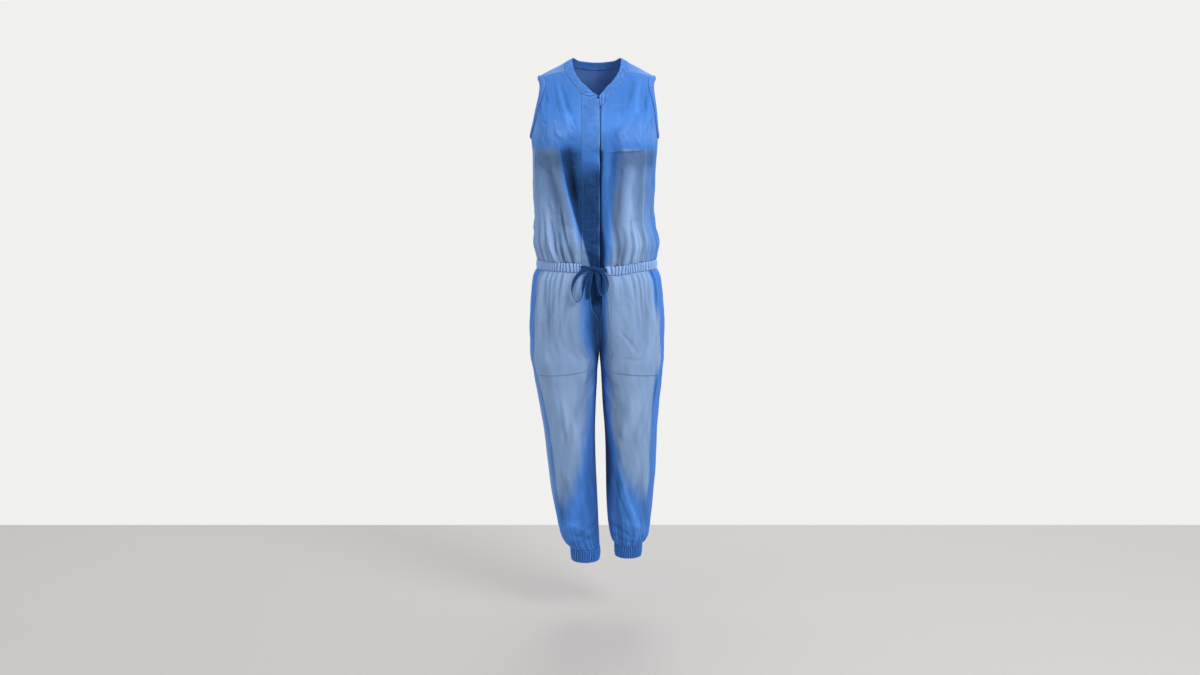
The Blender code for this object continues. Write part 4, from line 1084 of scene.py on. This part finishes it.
def back():
    """The back from the left side seam round to the right one, and from yoke to waist."""
    count = 32
    corner = float(torso(*armhole(UNDER_CLOCKS[-1], BINDING))[0])
    under = [armhole(clock, BINDING) for clock in UNDER_CLOCKS]
    across_back = [under[-1]]
    for c in range(len(under), count // 2 + 1):
        x = corner * (count // 2 - c) / (count // 2 - len(under) + 1)
        across_back.append((turn_at(x, YOKE_BACK - SEAM, back=True), YOKE_BACK - SEAM))
    half = np.concatenate((between(under, 6), between(across_back, 6)[1:]))
    top_turn = np.concatenate((half[:, 0], 360 - half[-2::-1, 0]))
    top_level = np.concatenate((half[:, 1], half[-2::-1, 1]))
    c = np.linspace(0.0, 1.0, len(top_turn))
    base = mix(SIDE_SEAM + SEAM_TURN, 360 - SIDE_SEAM - SEAM_TURN, c)
    share = np.linspace(1.0, 0.0, 34)[:-1, None]
    level = mix(STRAIGHT_BELOW, top_level, share)
    turn = mix(base, top_turn, share * share)
    low_level = np.linspace(STRAIGHT_BELOW, WAIST_TOP, 90)[:, None] + 0 * c
    turn = np.concatenate((turn, base + 0 * low_level))
    level = np.concatenate((level, low_level))
    points, out = bodice(turn, level)
    piece = cloth("back_bodice_cloth", points, bodice_cloth, "back", CLOTH, *washed_bodice(turn, level, out))
    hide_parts("back_bodice")
    stitched("back_stitches", [seam_line(points, side, EDGE_ROW) for side in "lr"], blue_thread)


front(-1, "front_right")
front(+1, "front_left")
back()

# ---------------------------------------------------------------- plackets
# The over placket hides the buttons: a doubled strip 49 mm wide, stitched along both edges and again
# 13 mm inside its free left edge. The button strip lies under it and runs on as the fly.
PLACKET_LEFT = 0.0080
PLACKET_WALL = 0.0018
PLACKET_ROWS = (0.0016, 0.0135)  # stitches inside the free edge
BARS = (-0.1085, -0.1285, -0.1520, -0.2460, -0.3600, -0.4560)  # levels stitched across
BAR_COLUMNS = 21
UNDER_SIDES = (-0.0320, 0.0215)
UNDER_LEVELS = (-0.132, -0.714)
UNDER_OUT = -0.0023  # it lies inside the fronts' cloth
TURN_ACROSS = 36 / 0.122  # degrees of turn to a metre across the middle of the front
PUCKER = 0.0006
PUCKERS = crumples(12, 110, (-12, 3), (-0.11, -0.54), 82, 0.0012)


def lying(x, level, out):
    """Points of a strip that lies along the middle of the front."""
    turn = turn_at(x, level)
    points = pushed(torso(turn, level), turn, out)
    points[..., 2] += sag(turn, level)
    return points


def placket_over():
    """The upper strip, from the neckband's right end down over the casing's opening."""
    levels_of_band, xs_of_band = band_edge(-1)
    x = np.linspace(-FRONT_EDGE[-1] + 2 * SEAM, PLACKET_LEFT, 29)
    top = np.interp(x, -xs_of_band, levels_of_band) - 2 * SEAM
    share = np.linspace(1.0, 0.0, 34)[:-1, None]
    low_level = np.linspace(STRAIGHT_BELOW, WAIST_LOW, 100)[:, None] + 0 * x
    level = np.concatenate((mix(STRAIGHT_BELOW, top, share), low_level))
    edge = eased_step(-0.012, 0.008, x)
    x = x + edge * 0.0007 * np.sin(level / 0.017 + 1.5 * np.sin(level / 0.043))
    turn = x * TURN_ACROSS
    out = 0.0008 + 0.0009 * edge * np.sin(level / 0.0125 + 2 * np.sin(level / 0.037))
    out = out + PUCKER * np.tanh(creased(PUCKERS, turn, level) / PUCKER)
    for bar in BARS:
        out -= 0.0007 * hump(level, bar, 0.0014) * eased_step(0.0, -0.004, x)
    points = lying(x, level, out)
    # Below the bust the placket turns nearly raw: partly deep cloth and partly painted shade; the rise is
    # lowered there as more painted shade.
    fade = mix(-0.78, 0.08, eased_step(-0.34, -0.222, level)) + 0.30 * eased_step(0.0045, 0.0075, x)
    fade = mix(fade, 0.75, eased_step(0.0, 2.0, long_fold(level) - turn))
    rise = np.clip((out - 0.0006) / 0.0024 - 0.25 * eased_step(-0.25, -0.35, level), -1.0, 1.0)
    piece = cloth(
        "placket_over_cloth", points, placket_cloth, "placket", PLACKET_WALL, fade, rise, wear=0.0022
    )
    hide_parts("placket_over")
    rows = [seam_line(points, "l", EDGE_ROW)]
    rows += [seam_line(points, "r", inset) for inset in PLACKET_ROWS]
    normals = normals_of(points)
    for bar in BARS[1:]:
        row = int(np.argmin(np.abs(level[:, BAR_COLUMNS // 2] - bar)))
        rows.append(np.concatenate((points[row, :BAR_COLUMNS], normals[row, :BAR_COLUMNS]), -1))
    stitched("placket_stitches", rows, blue_thread)


def placket_under():
    """The strip below, which shows at the neck and as the fly under the waist."""
    x = np.linspace(*UNDER_SIDES, 25)
    level = np.linspace(*UNDER_LEVELS, 135)[:, None] + 0 * x
    out = UNDER_OUT + 0.0003 * np.sin(level / 0.015 + 2 * np.sin(level / 0.05))
    points = lying(x, level, out)
    # Nearly raw below the bust, where it shows in the gap and as the fly: partly deep cloth and partly
    # painted shadow in that recess; paler at its hem.
    fade = -0.95 + 0.75 * eased_step(-0.26, -0.20, level) + 0.12 * eased_step(-0.656, -0.668, level)
    piece = cloth("placket_under_cloth", points, placket_cloth, "placket", PLACKET_WALL, fade, wear=0.0022)
    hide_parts("placket_under")
    rows = [seam_line(points, side, 0.0020) for side in "rb"] + [seam_line(points, "b", 0.0090)]
    stitched("underlap_stitches", rows, blue_thread)


placket_cloth = chambray("placket_cloth")
placket_over()
placket_under()

# ---------------------------------------------------------------- waist casing
# A channel of doubled cloth sewn round the waist, drawn up on the tie so that it puckers into small
# round puffs with sharp creases between them.
CASING_FROM = {-1: FRONT_EDGE[-1] + SEAM, +1: 0.0225}
CASING_TO = 179.93
CASING_OVER = 0.0012  # how far it covers the cloth above and below
CASING_WALL = 0.0016


def casing(side, word):
    """One half, from the placket round to the middle of the back."""
    name = "waist_casing_" + word
    base = np.linspace(float(turn_at(CASING_FROM[side], WAIST_TOP)), CASING_TO, 421)
    share = np.linspace(0.0, 1.0, 13)[:, None]
    level = mix(WAIST_TOP + CASING_OVER, WAIST_LOW - CASING_OVER, share)
    across = base * ARC
    beat = across / 0.0015 + 2.2 * np.sin(across / 0.019 + side) + 1.1 * np.sin(across / 0.0071)
    beat = beat + 0.9 * np.sin(3 * share + across / 0.013)
    puff = puffs(beat, 0.6)
    round_over = np.sin(math.pi * share) ** 0.7
    out = 0.0008 + 0.0024 * round_over + 0.0014 * puff * (0.4 + 1.0 * round_over)
    level = level + 0.0008 * np.sin(beat / 2) * (2 * share - 1)
    turn = side * base
    points = pushed(torso(turn, level), turn, out)
    points[..., 2] += sag(turn, level)
    # Paler on each puff and darker in the creases between them, and the puff is also the rise: painted
    # highlight and painted shade.
    points, puff, fade = (grid[:, ::side] for grid in (points, puff, 0.52 + 0.30 * puff))
    piece = cloth(name + "_cloth", points, casing_cloth, "band", CASING_WALL, fade, puff, wear=0.0022)
    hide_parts(name)
    rows = [seam_line(points, edge, 0.0020) for edge in "tb"]
    stitched(name + "_stitches", rows, blue_thread)


casing_cloth = chambray("casing_cloth")
casing(-1, "right")
casing(+1, "left")

# ---------------------------------------------------------------- trousers
# Two fronts and two backs of single cloth, gathered at the waist and the ankles. The side seams lie
# well forward. The wash has left the middle of each panel pale and the cloth near the seams deep;
# beside the fly and on the inner legs that deep blue is also painted shadow.
# A leg's sides as distances from the middle, its depths and the power of its section, level by level,
# with the side seam's turn.
Leg = namedtuple("Leg", "level inner outer front back square seam")
LEFT_LEG = (
    Leg(-0.640, 0.0073, 0.184, 0.112, 0.106, 2.3, 64),
    Leg(-0.815, 0.0073, 0.190, 0.111, 0.112, 2.3, 60),
    Leg(-0.860, 0.0110, 0.186, 0.109, 0.107, 2.25, 57),
    Leg(-0.905, 0.0135, 0.183, 0.105, 0.101, 2.2, 53),
    Leg(-0.965, 0.0165, 0.177, 0.102, 0.092, 2.15, 48),
    Leg(-1.050, 0.0230, 0.172, 0.091, 0.082, 2.1, 46),
    Leg(-1.140, 0.0255, 0.169, 0.080, 0.077, 2.1, 46),
    Leg(-1.230, 0.0270, 0.162, 0.071, 0.073, 2.1, 46),
    Leg(-1.300, 0.0310, 0.155, 0.063, 0.069, 2.1, 46),
    Leg(-1.343, 0.0370, 0.150, 0.057, 0.065, 2.1, 46),
    Leg(-1.364, 0.0430, 0.141, 0.051, 0.058, 2.1, 46),
    Leg(-1.378, 0.0515, 0.131, 0.043, 0.048, 2.1, 46),
    Leg(-1.420, 0.0530, 0.129, 0.040, 0.044, 2.1, 46),
)
RIGHT_LEG = (
    Leg(-0.640, -0.0067, 0.184, 0.112, 0.106, 2.3, 64),
    Leg(-0.815, -0.0067, 0.188, 0.111, 0.112, 2.3, 60),
    Leg(-0.860, -0.0020, 0.181, 0.109, 0.107, 2.25, 57),
    Leg(-0.905, 0.0000, 0.173, 0.105, 0.101, 2.2, 53),
    Leg(-0.965, 0.0030, 0.163, 0.103, 0.092, 2.15, 48),
    Leg(-1.050, 0.0050, 0.150, 0.093, 0.082, 2.1, 46),
    Leg(-1.140, 0.0030, 0.140, 0.083, 0.077, 2.1, 46),
    Leg(-1.230, -0.0010, 0.129, 0.074, 0.073, 2.1, 46),
    Leg(-1.300, -0.0040, 0.115, 0.066, 0.069, 2.1, 46),
    Leg(-1.350, -0.0060, 0.104, 0.060, 0.065, 2.1, 46),
    Leg(-1.374, -0.0070, 0.091, 0.053, 0.057, 2.1, 46),
    Leg(-1.390, -0.0080, 0.077, 0.046, 0.047, 2.1, 46),
    Leg(-1.430, -0.0070, 0.074, 0.043, 0.043, 2.1, 46),
)
LEGS = {+1: LEFT_LEG, -1: RIGHT_LEG}
CENTRE = 0.0070  # the middle seam lies a little to the wearer's left
# Rows down a panel: the level at its inner and outer seam, and how much the leg shapes it, not the hips.
Row = namedtuple("Row", "inner outer leg")
TROUSER_ROWS = (
    Row(WAIST_LOW - 0.0003, WAIST_LOW - 0.0003, 0.00),
    Row(-0.587, -0.587, 0.00),
    Row(-0.606, -0.606, 0.00),
    Row(-0.635, -0.635, 0.00),
    Row(-0.668, -0.668, 0.00),
    Row(-0.703, -0.700, 0.00),
    Row(-0.737, -0.730, 0.06),
    Row(-0.770, -0.758, 0.20),
    Row(-0.796, -0.786, 0.46),
    Row(-0.811, -0.812, 0.76),
    Row(-0.816, -0.838, 1.00),
    Row(-0.845, -0.868, 1.00),
    Row(-0.895, -0.912, 1.00),
    Row(-0.965, -0.970, 1.00),
    Row(-1.040, -1.040, 1.00),
    Row(-1.110, -1.110, 1.00),
    Row(-1.180, -1.180, 1.00),
    Row(-1.240, -1.240, 1.00),
    Row(-1.290, -1.290, 1.00),
    Row(-1.330, -1.330, 1.00),
    Row(-1.357, -1.357, 1.00),
)
CUFF_TOP = {+1: -1.3780, -1: -1.3900}
CUFF_LOW = {+1: -1.4150, -1: -1.4275}
TROUSER_SEAM = 64
# The fronts' inner edges as levels and places across, from the waist to the foot of the fly.
FLY = {
    -1: ((WAIST_LOW, -0.0240), (-0.640, -0.0160), (-0.690, -0.0090), (-0.703, CENTRE - SEAM / 2)),
    +1: ((WAIST_LOW, 0.0140), (-0.690, 0.0140), (-0.703, CENTRE + SEAM / 2)),
}
PATCH_COLUMN = 4  # the column and the row at which the pocket ends on a front's grid
PATCH_ROW = 11
PATCH_HIP_TURN = 8.5
PATCH_LEG_TURN = -47
FOOT_ROW = 0.0080
LEG_SEAM = SEAM / 2 + 0.0001  # from a leg's seam line to the cloth
WIDE_LEG = 0.1
TROUSER_CREASES = (
    Crease(30, -0.600, 16, -0.780, 0.0230, -0.0050),
    Crease(52, -0.590, 34, -0.720, 0.0200, 0.0045),
    Crease(20, -0.860, -20, -1.100, 0.0300, 0.0050),
    Crease(-60, -0.840, -10, -1.000, 0.0300, -0.0050),
    Crease(-30, -1.180, 36, -1.360, 0.0280, 0.0070),
    Crease(10, -1.160, 60, -1.320, 0.0240, -0.0060),
    Crease(150, -0.600, 160, -0.760, 0.0230, -0.0050),
    Crease(180, -0.860, 130, -1.060, 0.0340, -0.0036),
    Crease(220, -1.060, 170, -1.240, 0.0340, 0.0036),
    Crease(110, -1.240, 200, -1.350, 0.0320, -0.0060),
    # gathers below the waist
    Crease(-32, -0.576, -30, -0.680, 0.0050, -0.0026),
    Crease(-18, -0.576, -15, -0.720, 0.0060, -0.0028),
    Crease(-4, -0.576, -3, -0.670, 0.0050, -0.0026),
    Crease(12, -0.576, 9, -0.740, 0.0060, -0.0028),
    Crease(27, -0.576, 24, -0.680, 0.0050, 0.0026),
    Crease(44, -0.576, 40, -0.700, 0.0060, -0.0024),
    # pulls at the top of the thigh and behind the knee
    Crease(-72, -0.850, -20, -0.905, 0.0070, -0.0030),
    Crease(-74, -0.880, -30, -0.960, 0.0070, 0.0034),
    Crease(-60, -1.020, 10, -1.060, 0.0080, -0.0018),
    Crease(110, -0.985, 180, -1.035, 0.0110, -0.0022),
    Crease(215, -1.010, 150, -1.075, 0.0120, -0.0022),
    Crease(205, -0.840, 150, -0.950, 0.0120, -0.0024),
    Crease(100, -0.800, 140, -0.880, 0.0110, -0.0026),
    # cloth that settles on the cuffs
    Crease(-70, -1.300, 20, -1.345, 0.0080, -0.0036),
    Crease(-60, -1.335, 40, -1.372, 0.0060, -0.0030),
    Crease(-20, -1.290, 70, -1.335, 0.0080, 0.0034),
    Crease(80, -1.330, 170, -1.370, 0.0070, -0.0036),
    Crease(100, -1.300, 190, -1.320, 0.0080, 0.0034),
    Crease(180, -1.340, 260, -1.370, 0.0070, -0.0034),
    Crease(190, -1.300, 280, -1.330, 0.0080, -0.0030),
)
LEFT_CREASES = (
    Crease(-36, -0.728, 6, -0.798, 0.0045, -0.0028),
    Crease(-38, -0.735, 2, -0.806, 0.0045, 0.0022),
    Crease(-22, -0.812, 24, -0.816, 0.0040, -0.0018),
    Crease(-44, -0.660, -14, -0.664, 0.0035, -0.0012),
    Crease(-38, -1.104, 22, -1.319, 0.0110, 0.0058),
    Crease(-46, -1.140, 12, -1.340, 0.0090, -0.0046),
    Crease(36, -0.930, 10, -1.060, 0.0080, 0.0022),
)
RIGHT_CREASES = (
    Crease(-10, -0.700, 4, -0.790, 0.0050, -0.0020),
    Crease(14, -0.860, 9, -1.060, 0.0060, -0.0022),
    Crease(5, -0.900, 2, -1.090, 0.0060, 0.0022),
    Crease(-6, -0.930, -4, -1.060, 0.0050, -0.0018),
    Crease(30, -1.330, -50, -1.360, 0.0060, -0.0034),
    Crease(40, -1.300, -40, -1.330, 0.0070, 0.0034),
    Crease(-20, -0.960, 22, -1.090, 0.0060, -0.0020),
)
SMALL_CREASES = crumples(8, 90, (-46, 46), (-0.60, -0.95), 14, 0.0018)
SMALL_CREASES += crumples(9, 60, (-60, 46), (-0.95, -1.32), 6, 0.0016)
SMALL_CREASES += crumples(10, 130, (50, 270), (-0.60, -1.32), 0, 0.0020)
SMALL_CREASES += crumples(11, 70, (-90, 270), (-1.30, -1.37), 70, 0.0034)
SIDE_CREASES = {+1: LEFT_CREASES + SMALL_CREASES, -1: RIGHT_CREASES + SMALL_CREASES[::2]}

# Where the worn zone of a front begins and is full, as shares of the leg's half width from its
# middle line, at five levels.
WORN_LEVELS = (-1.280, -1.220, -1.124, -1.027, -0.860)
WORN = {
    -1: ((-0.10, -0.60, -0.85, -1.10, -1.25), (1.50, 0.75, 0.00, -0.30, -0.55)),
    +1: ((0.20, -0.40, -0.90, -1.05, -1.10), (1.70, 0.95, -0.15, -0.55, -0.60)),
}


def leg(side, turn, level):
    """Points on a leg of the trousers before its folds."""
    row = at(LEGS[side], level)
    centre, half = (row.inner + row.outer) / 2, (row.outer - row.inner) / 2
    x = centre + half * powered(sine(turn), 2 / row.square)
    face = powered(cosine(turn), 2 / row.square)
    depth = np.where(face > 0, row.front, row.back)
    return np.stack(np.broadcast_arrays(side * x, -depth * face, level), -1)


def trouser(side, places, lift=0.0):
    """Points of one panel and how far its folds stand out, from hip turn, leg turn, level and share."""
    hip_turn, leg_turn, level, share = np.moveaxis(places, -1, 0)
    point = mix(torso(side * hip_turn, level), leg(side, leg_turn, level), share[..., None])
    hip_across, leg_across = side * hip_turn * ARC, leg_turn * ARC * 0.5
    out = 0.7 * creased(TROUSER_CREASES + SIDE_CREASES[side], leg_turn, level)
    out = out + gathered(hip_across, WAIST_LOW - level) * eased_step(5, 12, hip_turn)
    out = out + gathered(leg_across * 1.1 + side, (level - CUFF_TOP[side]) * 1.3)
    out = out + drape(leg_across * 1.6 + side, level) * eased_step(-0.60, -0.66, level)
    near = np.minimum(WAIST_LOW - level, level - CUFF_TOP[side])
    out = out * eased_step(-0.004, 0.010, near)
    inseam = (leg_turn + 90) % 360
    out = out * (1 - 0.9 * hump(np.minimum(inseam, 360 - inseam), 0, 16) * (share > 0.3))
    away = mix(hip_turn, leg_turn, share)
    points = pushed(point, side * away, out + lift)
    points[..., 2] += sag(side * hip_turn, level)
    return points, out


def trouser_places(side, fronts):
    """Places of one panel from its inner seam to the side seam, or on from there round the back."""
    rows = []
    count = 14 if fronts else 16
    for row in TROUSER_ROWS + (Row(CUFF_TOP[side], CUFF_TOP[side], 1.0),):
        line = []
        for c in range(count + 1):
            level = mix(row.inner, row.outer, c / count if fronts else 1 - c / count)
            here = at(LEGS[side], level)
            radius = min((here.outer - here.inner) / 2, WIDE_LEG)
            gap = math.degrees(LEG_SEAM / radius)
            inseam = 90 - SEAM_TURN - 1.2 * (gap - math.degrees(LEG_SEAM / WIDE_LEG))
            if fronts:
                levels, xs = zip(*FLY[side])
                edge = side * turn_at(np.interp(-level, -np.array(levels), xs), level)
                if c <= PATCH_COLUMN:
                    share = c / PATCH_COLUMN
                    hip_turn = mix(edge, PATCH_HIP_TURN, share)
                    leg_turn = mix(-inseam, PATCH_LEG_TURN, share)
                else:
                    share = (c - PATCH_COLUMN) / (count - PATCH_COLUMN)
                    hip_turn = mix(PATCH_HIP_TURN, TROUSER_SEAM - SEAM_TURN, share)
                    leg_turn = mix(PATCH_LEG_TURN, here.seam - gap, share)
            else:
                edge = (side * turn_at(CENTRE + side * SEAM / 2, level, back=True)) % 360
                hip_turn = mix(TROUSER_SEAM + SEAM_TURN, edge, c / count)
                leg_turn = mix(here.seam + gap, 180 + inseam, c / count)
            line.append((hip_turn, leg_turn, level, row.leg))
        rows.append(line)
    return np.array(rows, dtype=float)


def finer(places, down, across):
    """A grid of places with more between them both ways."""
    return between(between(places, down).swapaxes(0, 1), across).swapaxes(0, 1)


def washed_trouser(side, places, out, fronts):
    """A panel's fade and rise: pale in the middle, deep beside the inner seam and towards the cuff."""
    hip_turn, leg_turn, level = np.moveaxis(places, -1, 0)[:3]
    aside = sine(leg_turn)
    # shade is painted shade, taken off the rise. On the fronts the deep blue beside the fly and on the inner
    # side of each leg is partly the wash and partly painted shadow.
    shade = 0.0
    if fronts:
        begins, full = (np.interp(level, WORN_LEVELS, limits) for limits in WORN[side])
        lower = eased_step(begins, full, aside)
    if fronts and side > 0:
        hip = eased_step(0, 9, hip_turn)
        hip = hip * (1 - 0.7 * eased_step(50, 60, hip_turn) * eased_step(-0.72, -0.64, level))
        lower = lower * (1 - 0.75 * eased_step(0.66, 0.76, aside) * eased_step(-0.82, -0.90, level))
        deep = -0.90 + 0.80 * eased_step(-1.02, -1.18, level) * eased_step(-1.00, -0.55, aside)
        fade = mix(deep, 0.88, mix(hip, lower, eased_step(-0.68, -0.90, level)))
        fade = mix(fade, 0.0, 0.9 * eased_step(-1.17, -1.30, level))
        # Painted shade in the valley beside the fly and low on the leg's inner side.
        shade = 0.7 * hump(hip_turn, 5, 5) * eased_step(-0.86, -0.80, level)
        shade = shade + 0.5 * hump(aside, -0.45, 0.15) * eased_step(-0.90, -1.05, level)
    elif fronts:
        hip = eased_step(-2, 16, hip_turn)
        hip, lower = mix(-0.85, 0.88, hip), mix(-0.30, 0.88, lower)
        fade = mix(hip, lower, eased_step(-0.72, -0.92, level))
        fade = mix(fade, -0.05 - 0.3 * eased_step(-0.45, -0.80, aside), 0.9 * eased_step(-1.20, -1.33, level))
    else:
        hip = eased_step(72, 112, hip_turn)
        start = (88, 130) if side > 0 else (44, 74)
        lower = eased_step(*start, leg_turn) * (1 - eased_step(190, 240, leg_turn))
        fade = mix(0.02, 0.62, mix(hip, lower, eased_step(-0.66, -1.02, level)))
        fade = mix(fade, -0.05, 0.9 * eased_step(-1.20, -1.30, level))
    # Painted shade beside the middle seam, over the hips.
    shade = shade + 0.7 * fronts * eased_step(5, 1, hip_turn) * eased_step(-0.86, -0.80, level)
    return fade, np.clip(out / 0.0080 - shade, -1.0, 1.0)


def trouser_panel(side, fronts, word):
    """A front or a back, from the waist down to the cuff."""
    slot = "trouser_front" if fronts else "trouser_back"
    name = f"{slot}_{word}"
    places = finer(trouser_places(side, fronts), 7, 6 if fronts else 8)
    points, out = trouser(side, places)
    grids = (points, *washed_trouser(side, places, out, fronts))
    points, fade, rise = (grid[:, ::side] for grid in grids)
    piece = cloth(name + "_cloth", points, trouser_cloth, slot, CLOTH, fade, rise)
    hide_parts(name)
    outer = "r" if (side > 0) == fronts else "l"
    rows = [seam_line(points, outer, EDGE_ROW)]
    if fronts:
        inner = seam_line(points, "l" if side > 0 else "r", 0.0030)
        rows += [inner[: len(inner) // 3]]
    stitched(name + "_stitches", rows, blue_thread)


def pocket(side, word):
    """A bag laid on the front, double stitched along its foot; the hand goes in at the slant."""
    name = "pocket_" + word
    places = trouser_places(side, True)[: PATCH_ROW + 1, PATCH_COLUMN:]
    places[0] = mix(places[0], places[1], 0.12)
    opening = mix(0.05, 0.75, np.clip((WAIST_LOW - places[:, -1, 2]) / 0.115, 0.0, 1.0))
    places[:, -1] = mix(places[:, -2], places[:, -1], opening[:, None])
    fine = finer(places, 8, 6)
    from_inner = np.linspace(0.0, 1.0, fine.shape[1])
    lift = 0.0005 + 0.0008 * eased_step(0.0, 0.10, from_inner)
    points, out = trouser(side, fine, lift)
    grids = (points, *washed_trouser(side, fine, out, True))
    points, fade, rise = (grid[:, ::side] for grid in grids)
    slant, inner = ("r", "l") if side > 0 else ("l", "r")
    piece = cloth(name + "_cloth", points, trouser_cloth, "pocket", CLOTH, fade, rise, "b" + slant, 0.0030)
    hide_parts(name)
    rows = [seam_line(points, slant, inset) for inset in (EDGE_ROW, SECOND_ROW)]
    rows += [seam_line(points, "b", inset) for inset in (EDGE_ROW, FOOT_ROW)]
    rows += [seam_line(points, inner, 0.0030)[-40:]]
    stitched(name + "_stitches", rows, blue_thread)


trouser_cloth = chambray("trouser_cloth")
for side, word in ((-1, "right"), (+1, "left")):
    trouser_panel(side, True, word)
    trouser_panel(side, False, word)
    pocket(side, word)

# ---------------------------------------------------------------- cuffs
# A band of doubled cloth over elastic at each ankle, drawn up into close upright gathers and
# stitched in three rows. The trouser front and back are sewn to its upper edge.
CUFF_WALL = 0.0016
CUFF_ROWS = (("t", 0.0020), ("t", 0.0140), ("b", 0.0020))
ANKLE_ARC = 0.00075  # length of one degree of turn round the ankle


def cuff(side, word):
    """The band once round the ankle, from one side of the inner seam to the other."""
    name = "cuff_" + word
    turn = np.linspace(-90.0, 270.0, 421)
    share = np.linspace(0.0, 1.0, 15)[:, None]
    across = turn * ANKLE_ARC
    beat = across / 0.00080 + 2.0 * np.sin(across / 0.0080 + side) + 1.2 * np.sin(across / 0.0033 + 3 * share)
    puff = puffs(beat, 0.7)
    level = mix(CUFF_TOP[side] - SEAM, CUFF_LOW[side], share) + 0.0006 * np.sin(beat / 2) * (2 * share - 1)
    round_over = 0.0018 * np.sin(math.pi * share) - 0.0008 * share
    rows_of_thread = 0.0006 * hump(share * 3 % 1, 0.5, 0.12)
    out = round_over - rows_of_thread + 0.0015 * puff
    points = pushed(leg(side, turn, level), side * turn, out)
    # Darker than the legs, paler on each puff and darker between them, with the puff as rise: partly deep
    # cloth, partly painted shade, and painted highlight on the puffs.
    points, puff, fade = (grid[:, ::side] for grid in (points, puff, -0.55 + 0.28 * puff))
    piece = cloth(name + "_cloth", points, trouser_cloth, "cuff", CUFF_WALL, fade, puff, "tb", 0.0022)
    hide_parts(name)
    rows = [seam_line(points, edge, inset) for edge, inset in CUFF_ROWS]
    stitched(name + "_stitches", rows, blue_thread)


cuff(-1, "right")
cuff(+1, "left")

# ---------------------------------------------------------------- button
# One small button of dark moulded plastic on the left end of the neckband. It is sewn on through its
# four holes, which the cross of thread covers.
BUTTON_X = 0.0165
BUTTON_LEVEL = -0.1105
CROSS_HALF = 0.00143
BUTTON_SEAT = 0.0004
THREAD_LIES = 0.0014
Turned = namedtuple("Turned", "radius up")
BUTTON_PROFILE = (
    Turned(0.0000, 0.0000),
    Turned(0.0040, 0.0000),
    Turned(0.0045, 0.0005),
    Turned(0.0045, 0.0013),
    Turned(0.0040, 0.0018),
    Turned(0.0034, 0.0018),
    Turned(0.0028, 0.0012),
    Turned(0.0000, 0.0011),
)


def button():
    """The turned disc on its seat, square to the band, and the cross of thread."""
    here, lower, beyond = (
        torso(turn_at(x, level), level)
        for x, level in (
            (BUTTON_X, BUTTON_LEVEL),
            (BUTTON_X, BUTTON_LEVEL - 0.004),
            (BUTTON_X + 0.004, BUTTON_LEVEL),
        )
    )
    out = np.cross(lower - here, beyond - here)
    out /= np.linalg.norm(out)
    aside = np.cross((0.0, 0.0, 1.0), out)
    aside /= np.linalg.norm(aside)
    upward = np.cross(out, aside)
    seat = here + out * BUTTON_SEAT
    clock = np.linspace(0.0, 360.0, 49)
    profile = np.array(BUTTON_PROFILE)
    disc = seat + (
        profile[:, :1, None] * (cosine(clock)[None, :, None] * aside + sine(clock)[None, :, None] * upward)
        + profile[:, 1:, None] * out
    )
    piece = cloth("neck_button_disc", disc, button_plastic, "button", 0.0)
    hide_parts("neck_button")
    lines = []
    for tilt in (45, 135):
        way = cosine(tilt) * aside + sine(tilt) * upward
        ends = [seat + out * THREAD_LIES + way * CROSS_HALF * k for k in (-1, 1)]
        line = np.array([mix(ends[0], ends[1], t) for t in np.linspace(0, 1, 5)])
        lines.append(np.concatenate((line, np.tile(out, (5, 1))), -1))
    stitched("button_thread", lines, blue_thread)


button_plastic = mottled(
    "button_plastic", (0.045, 0.070, 0.130), dark=0.6, light=1.7, roughness=0.28,
    Scale=420.0, Detail=4.0, Distortion=1.2,
)
button()
